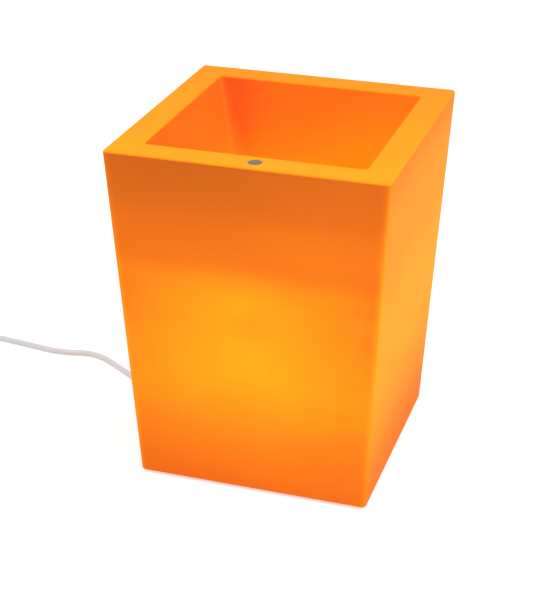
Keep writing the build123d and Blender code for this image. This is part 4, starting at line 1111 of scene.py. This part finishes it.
bpy.ops.mesh.primitive_cube_add(size=1, location=(0, 0, 0), scale=(TIE_WIDTH, TIE_THICKNESS * 2, TIE_TAIL))
tails = bpy.context.object
bpy.ops.object.transform_apply(location=False, rotation=False, scale=True)
bpy.ops.object.mode_set(mode="EDIT")
bpy.ops.mesh.select_all(action="SELECT")
bpy.ops.mesh.subdivide(number_cuts=TIE_TAIL_CUTS)
bpy.ops.object.mode_set(mode="OBJECT")
twist = tails.modifiers.new("twist", "SIMPLE_DEFORM")
twist.deform_method = "TWIST"
twist.deform_axis = "Z"
twist.angle = math.radians(TIE_TWIST_DEGREES)
bpy.context.view_layer.objects.active = tails
bpy.ops.object.modifier_apply(modifier=twist.name)
laid = Matrix.Rotation(math.radians(90), 4, "Y")
leant = Matrix.Rotation(math.radians(TIE_LEAN_DEGREES), 4, "X")
tails.data.transform(laid @ leant)
tails.location = (tie_x + TIE_TAIL / 2 + TIE_TAIL_START, tie_y, TIE_TOP + TIE_TAIL_LIFT)
settle(joined("coil_tie", [band, tails]), "pot", "clamp_plastic", tie_material)


# Plug: white plastic with a fine matt grain, moulded round the end of the lead, its sleeve grooved so that
# it bends. The pins are shiny nickel-plated brass, and each has a plastic collar over the half nearest the
# plug.
PLUG_LENGTH = 0.056
PIN_LENGTH = 0.019
PIN_RADIUS = 0.002
PIN_SPACING = 0.0186
PIN_ROUNDING = 0.0013
COLLAR_LENGTH = 0.010
COLLAR_RADIUS = 0.00195

plug_material = plastic("moulded_white_pvc", "#E4E7E8", "#ECEFF0", 0.44, 1.2, 0.03, ior=1.53)
collar_material = plastic("pin_collar_plastic", "#C9C9C6", "#D2D2CF", 0.45, 1.2, 0.02, ior=1.53)
nickel = metal("nickel_plated_brass", "#B9B6AE", "#CFCCC4", 0.16, 1.2)
finish(plug_material, "plug_body")

low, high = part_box("plug_pins")
pin_height = (low.z + high.z) / 2
cord_before, cord_end = (Vector((x, y, 0)) for x, y, z in coil_points[-2:])
outwards = (cord_end - cord_before).normalized()
across = Vector((-outwards.y, outwards.x, 0))
collar_top = COLLAR_LENGTH - PIN_LENGTH / 2
pins = []
for side in (-1, 1):
    bpy.ops.mesh.primitive_cylinder_add(vertices=32, radius=PIN_RADIUS, depth=PIN_LENGTH, location=(0, 0, 0))
    pin = bpy.context.object
    pin.data.materials.append(nickel)
    pin.data.materials.append(collar_material)
    bpy.ops.object.mode_set(mode="EDIT")
    pick(pin, lambda middle, normal: normal.z > FACING)
    bpy.ops.mesh.bevel(offset=PIN_ROUNDING, segments=5, affect="EDGES")
    bpy.ops.mesh.select_all(action="SELECT")
    bpy.ops.mesh.bisect(plane_co=(0, 0, collar_top), plane_no=(0, 0, 1))
    pick(pin, lambda middle, normal: middle.z < collar_top)
    bpy.context.object.active_material_index = 1
    bpy.ops.object.material_slot_assign()
    bpy.ops.transform.resize(value=(COLLAR_RADIUS / PIN_RADIUS, COLLAR_RADIUS / PIN_RADIUS, 1))
    bpy.ops.object.mode_set(mode="OBJECT")
    turned_out = Matrix.Rotation(math.atan2(outwards.y, outwards.x), 4, "Z")
    laid = Matrix.Rotation(math.pi / 2, 4, "Y")
    pin.data.transform(turned_out @ laid)
    middle = cord_end + outwards * (PLUG_LENGTH + PIN_LENGTH / 2) + across * side * PIN_SPACING / 2
    pin.location = (middle.x, middle.y, pin_height)
    pins.append(pin)
pin_set = settle(joined("plug_pin_pair", pins), "pot", "pin_metal", nickel, "plug_pins")

bpy.ops.object.select_all(action="DESELECT")
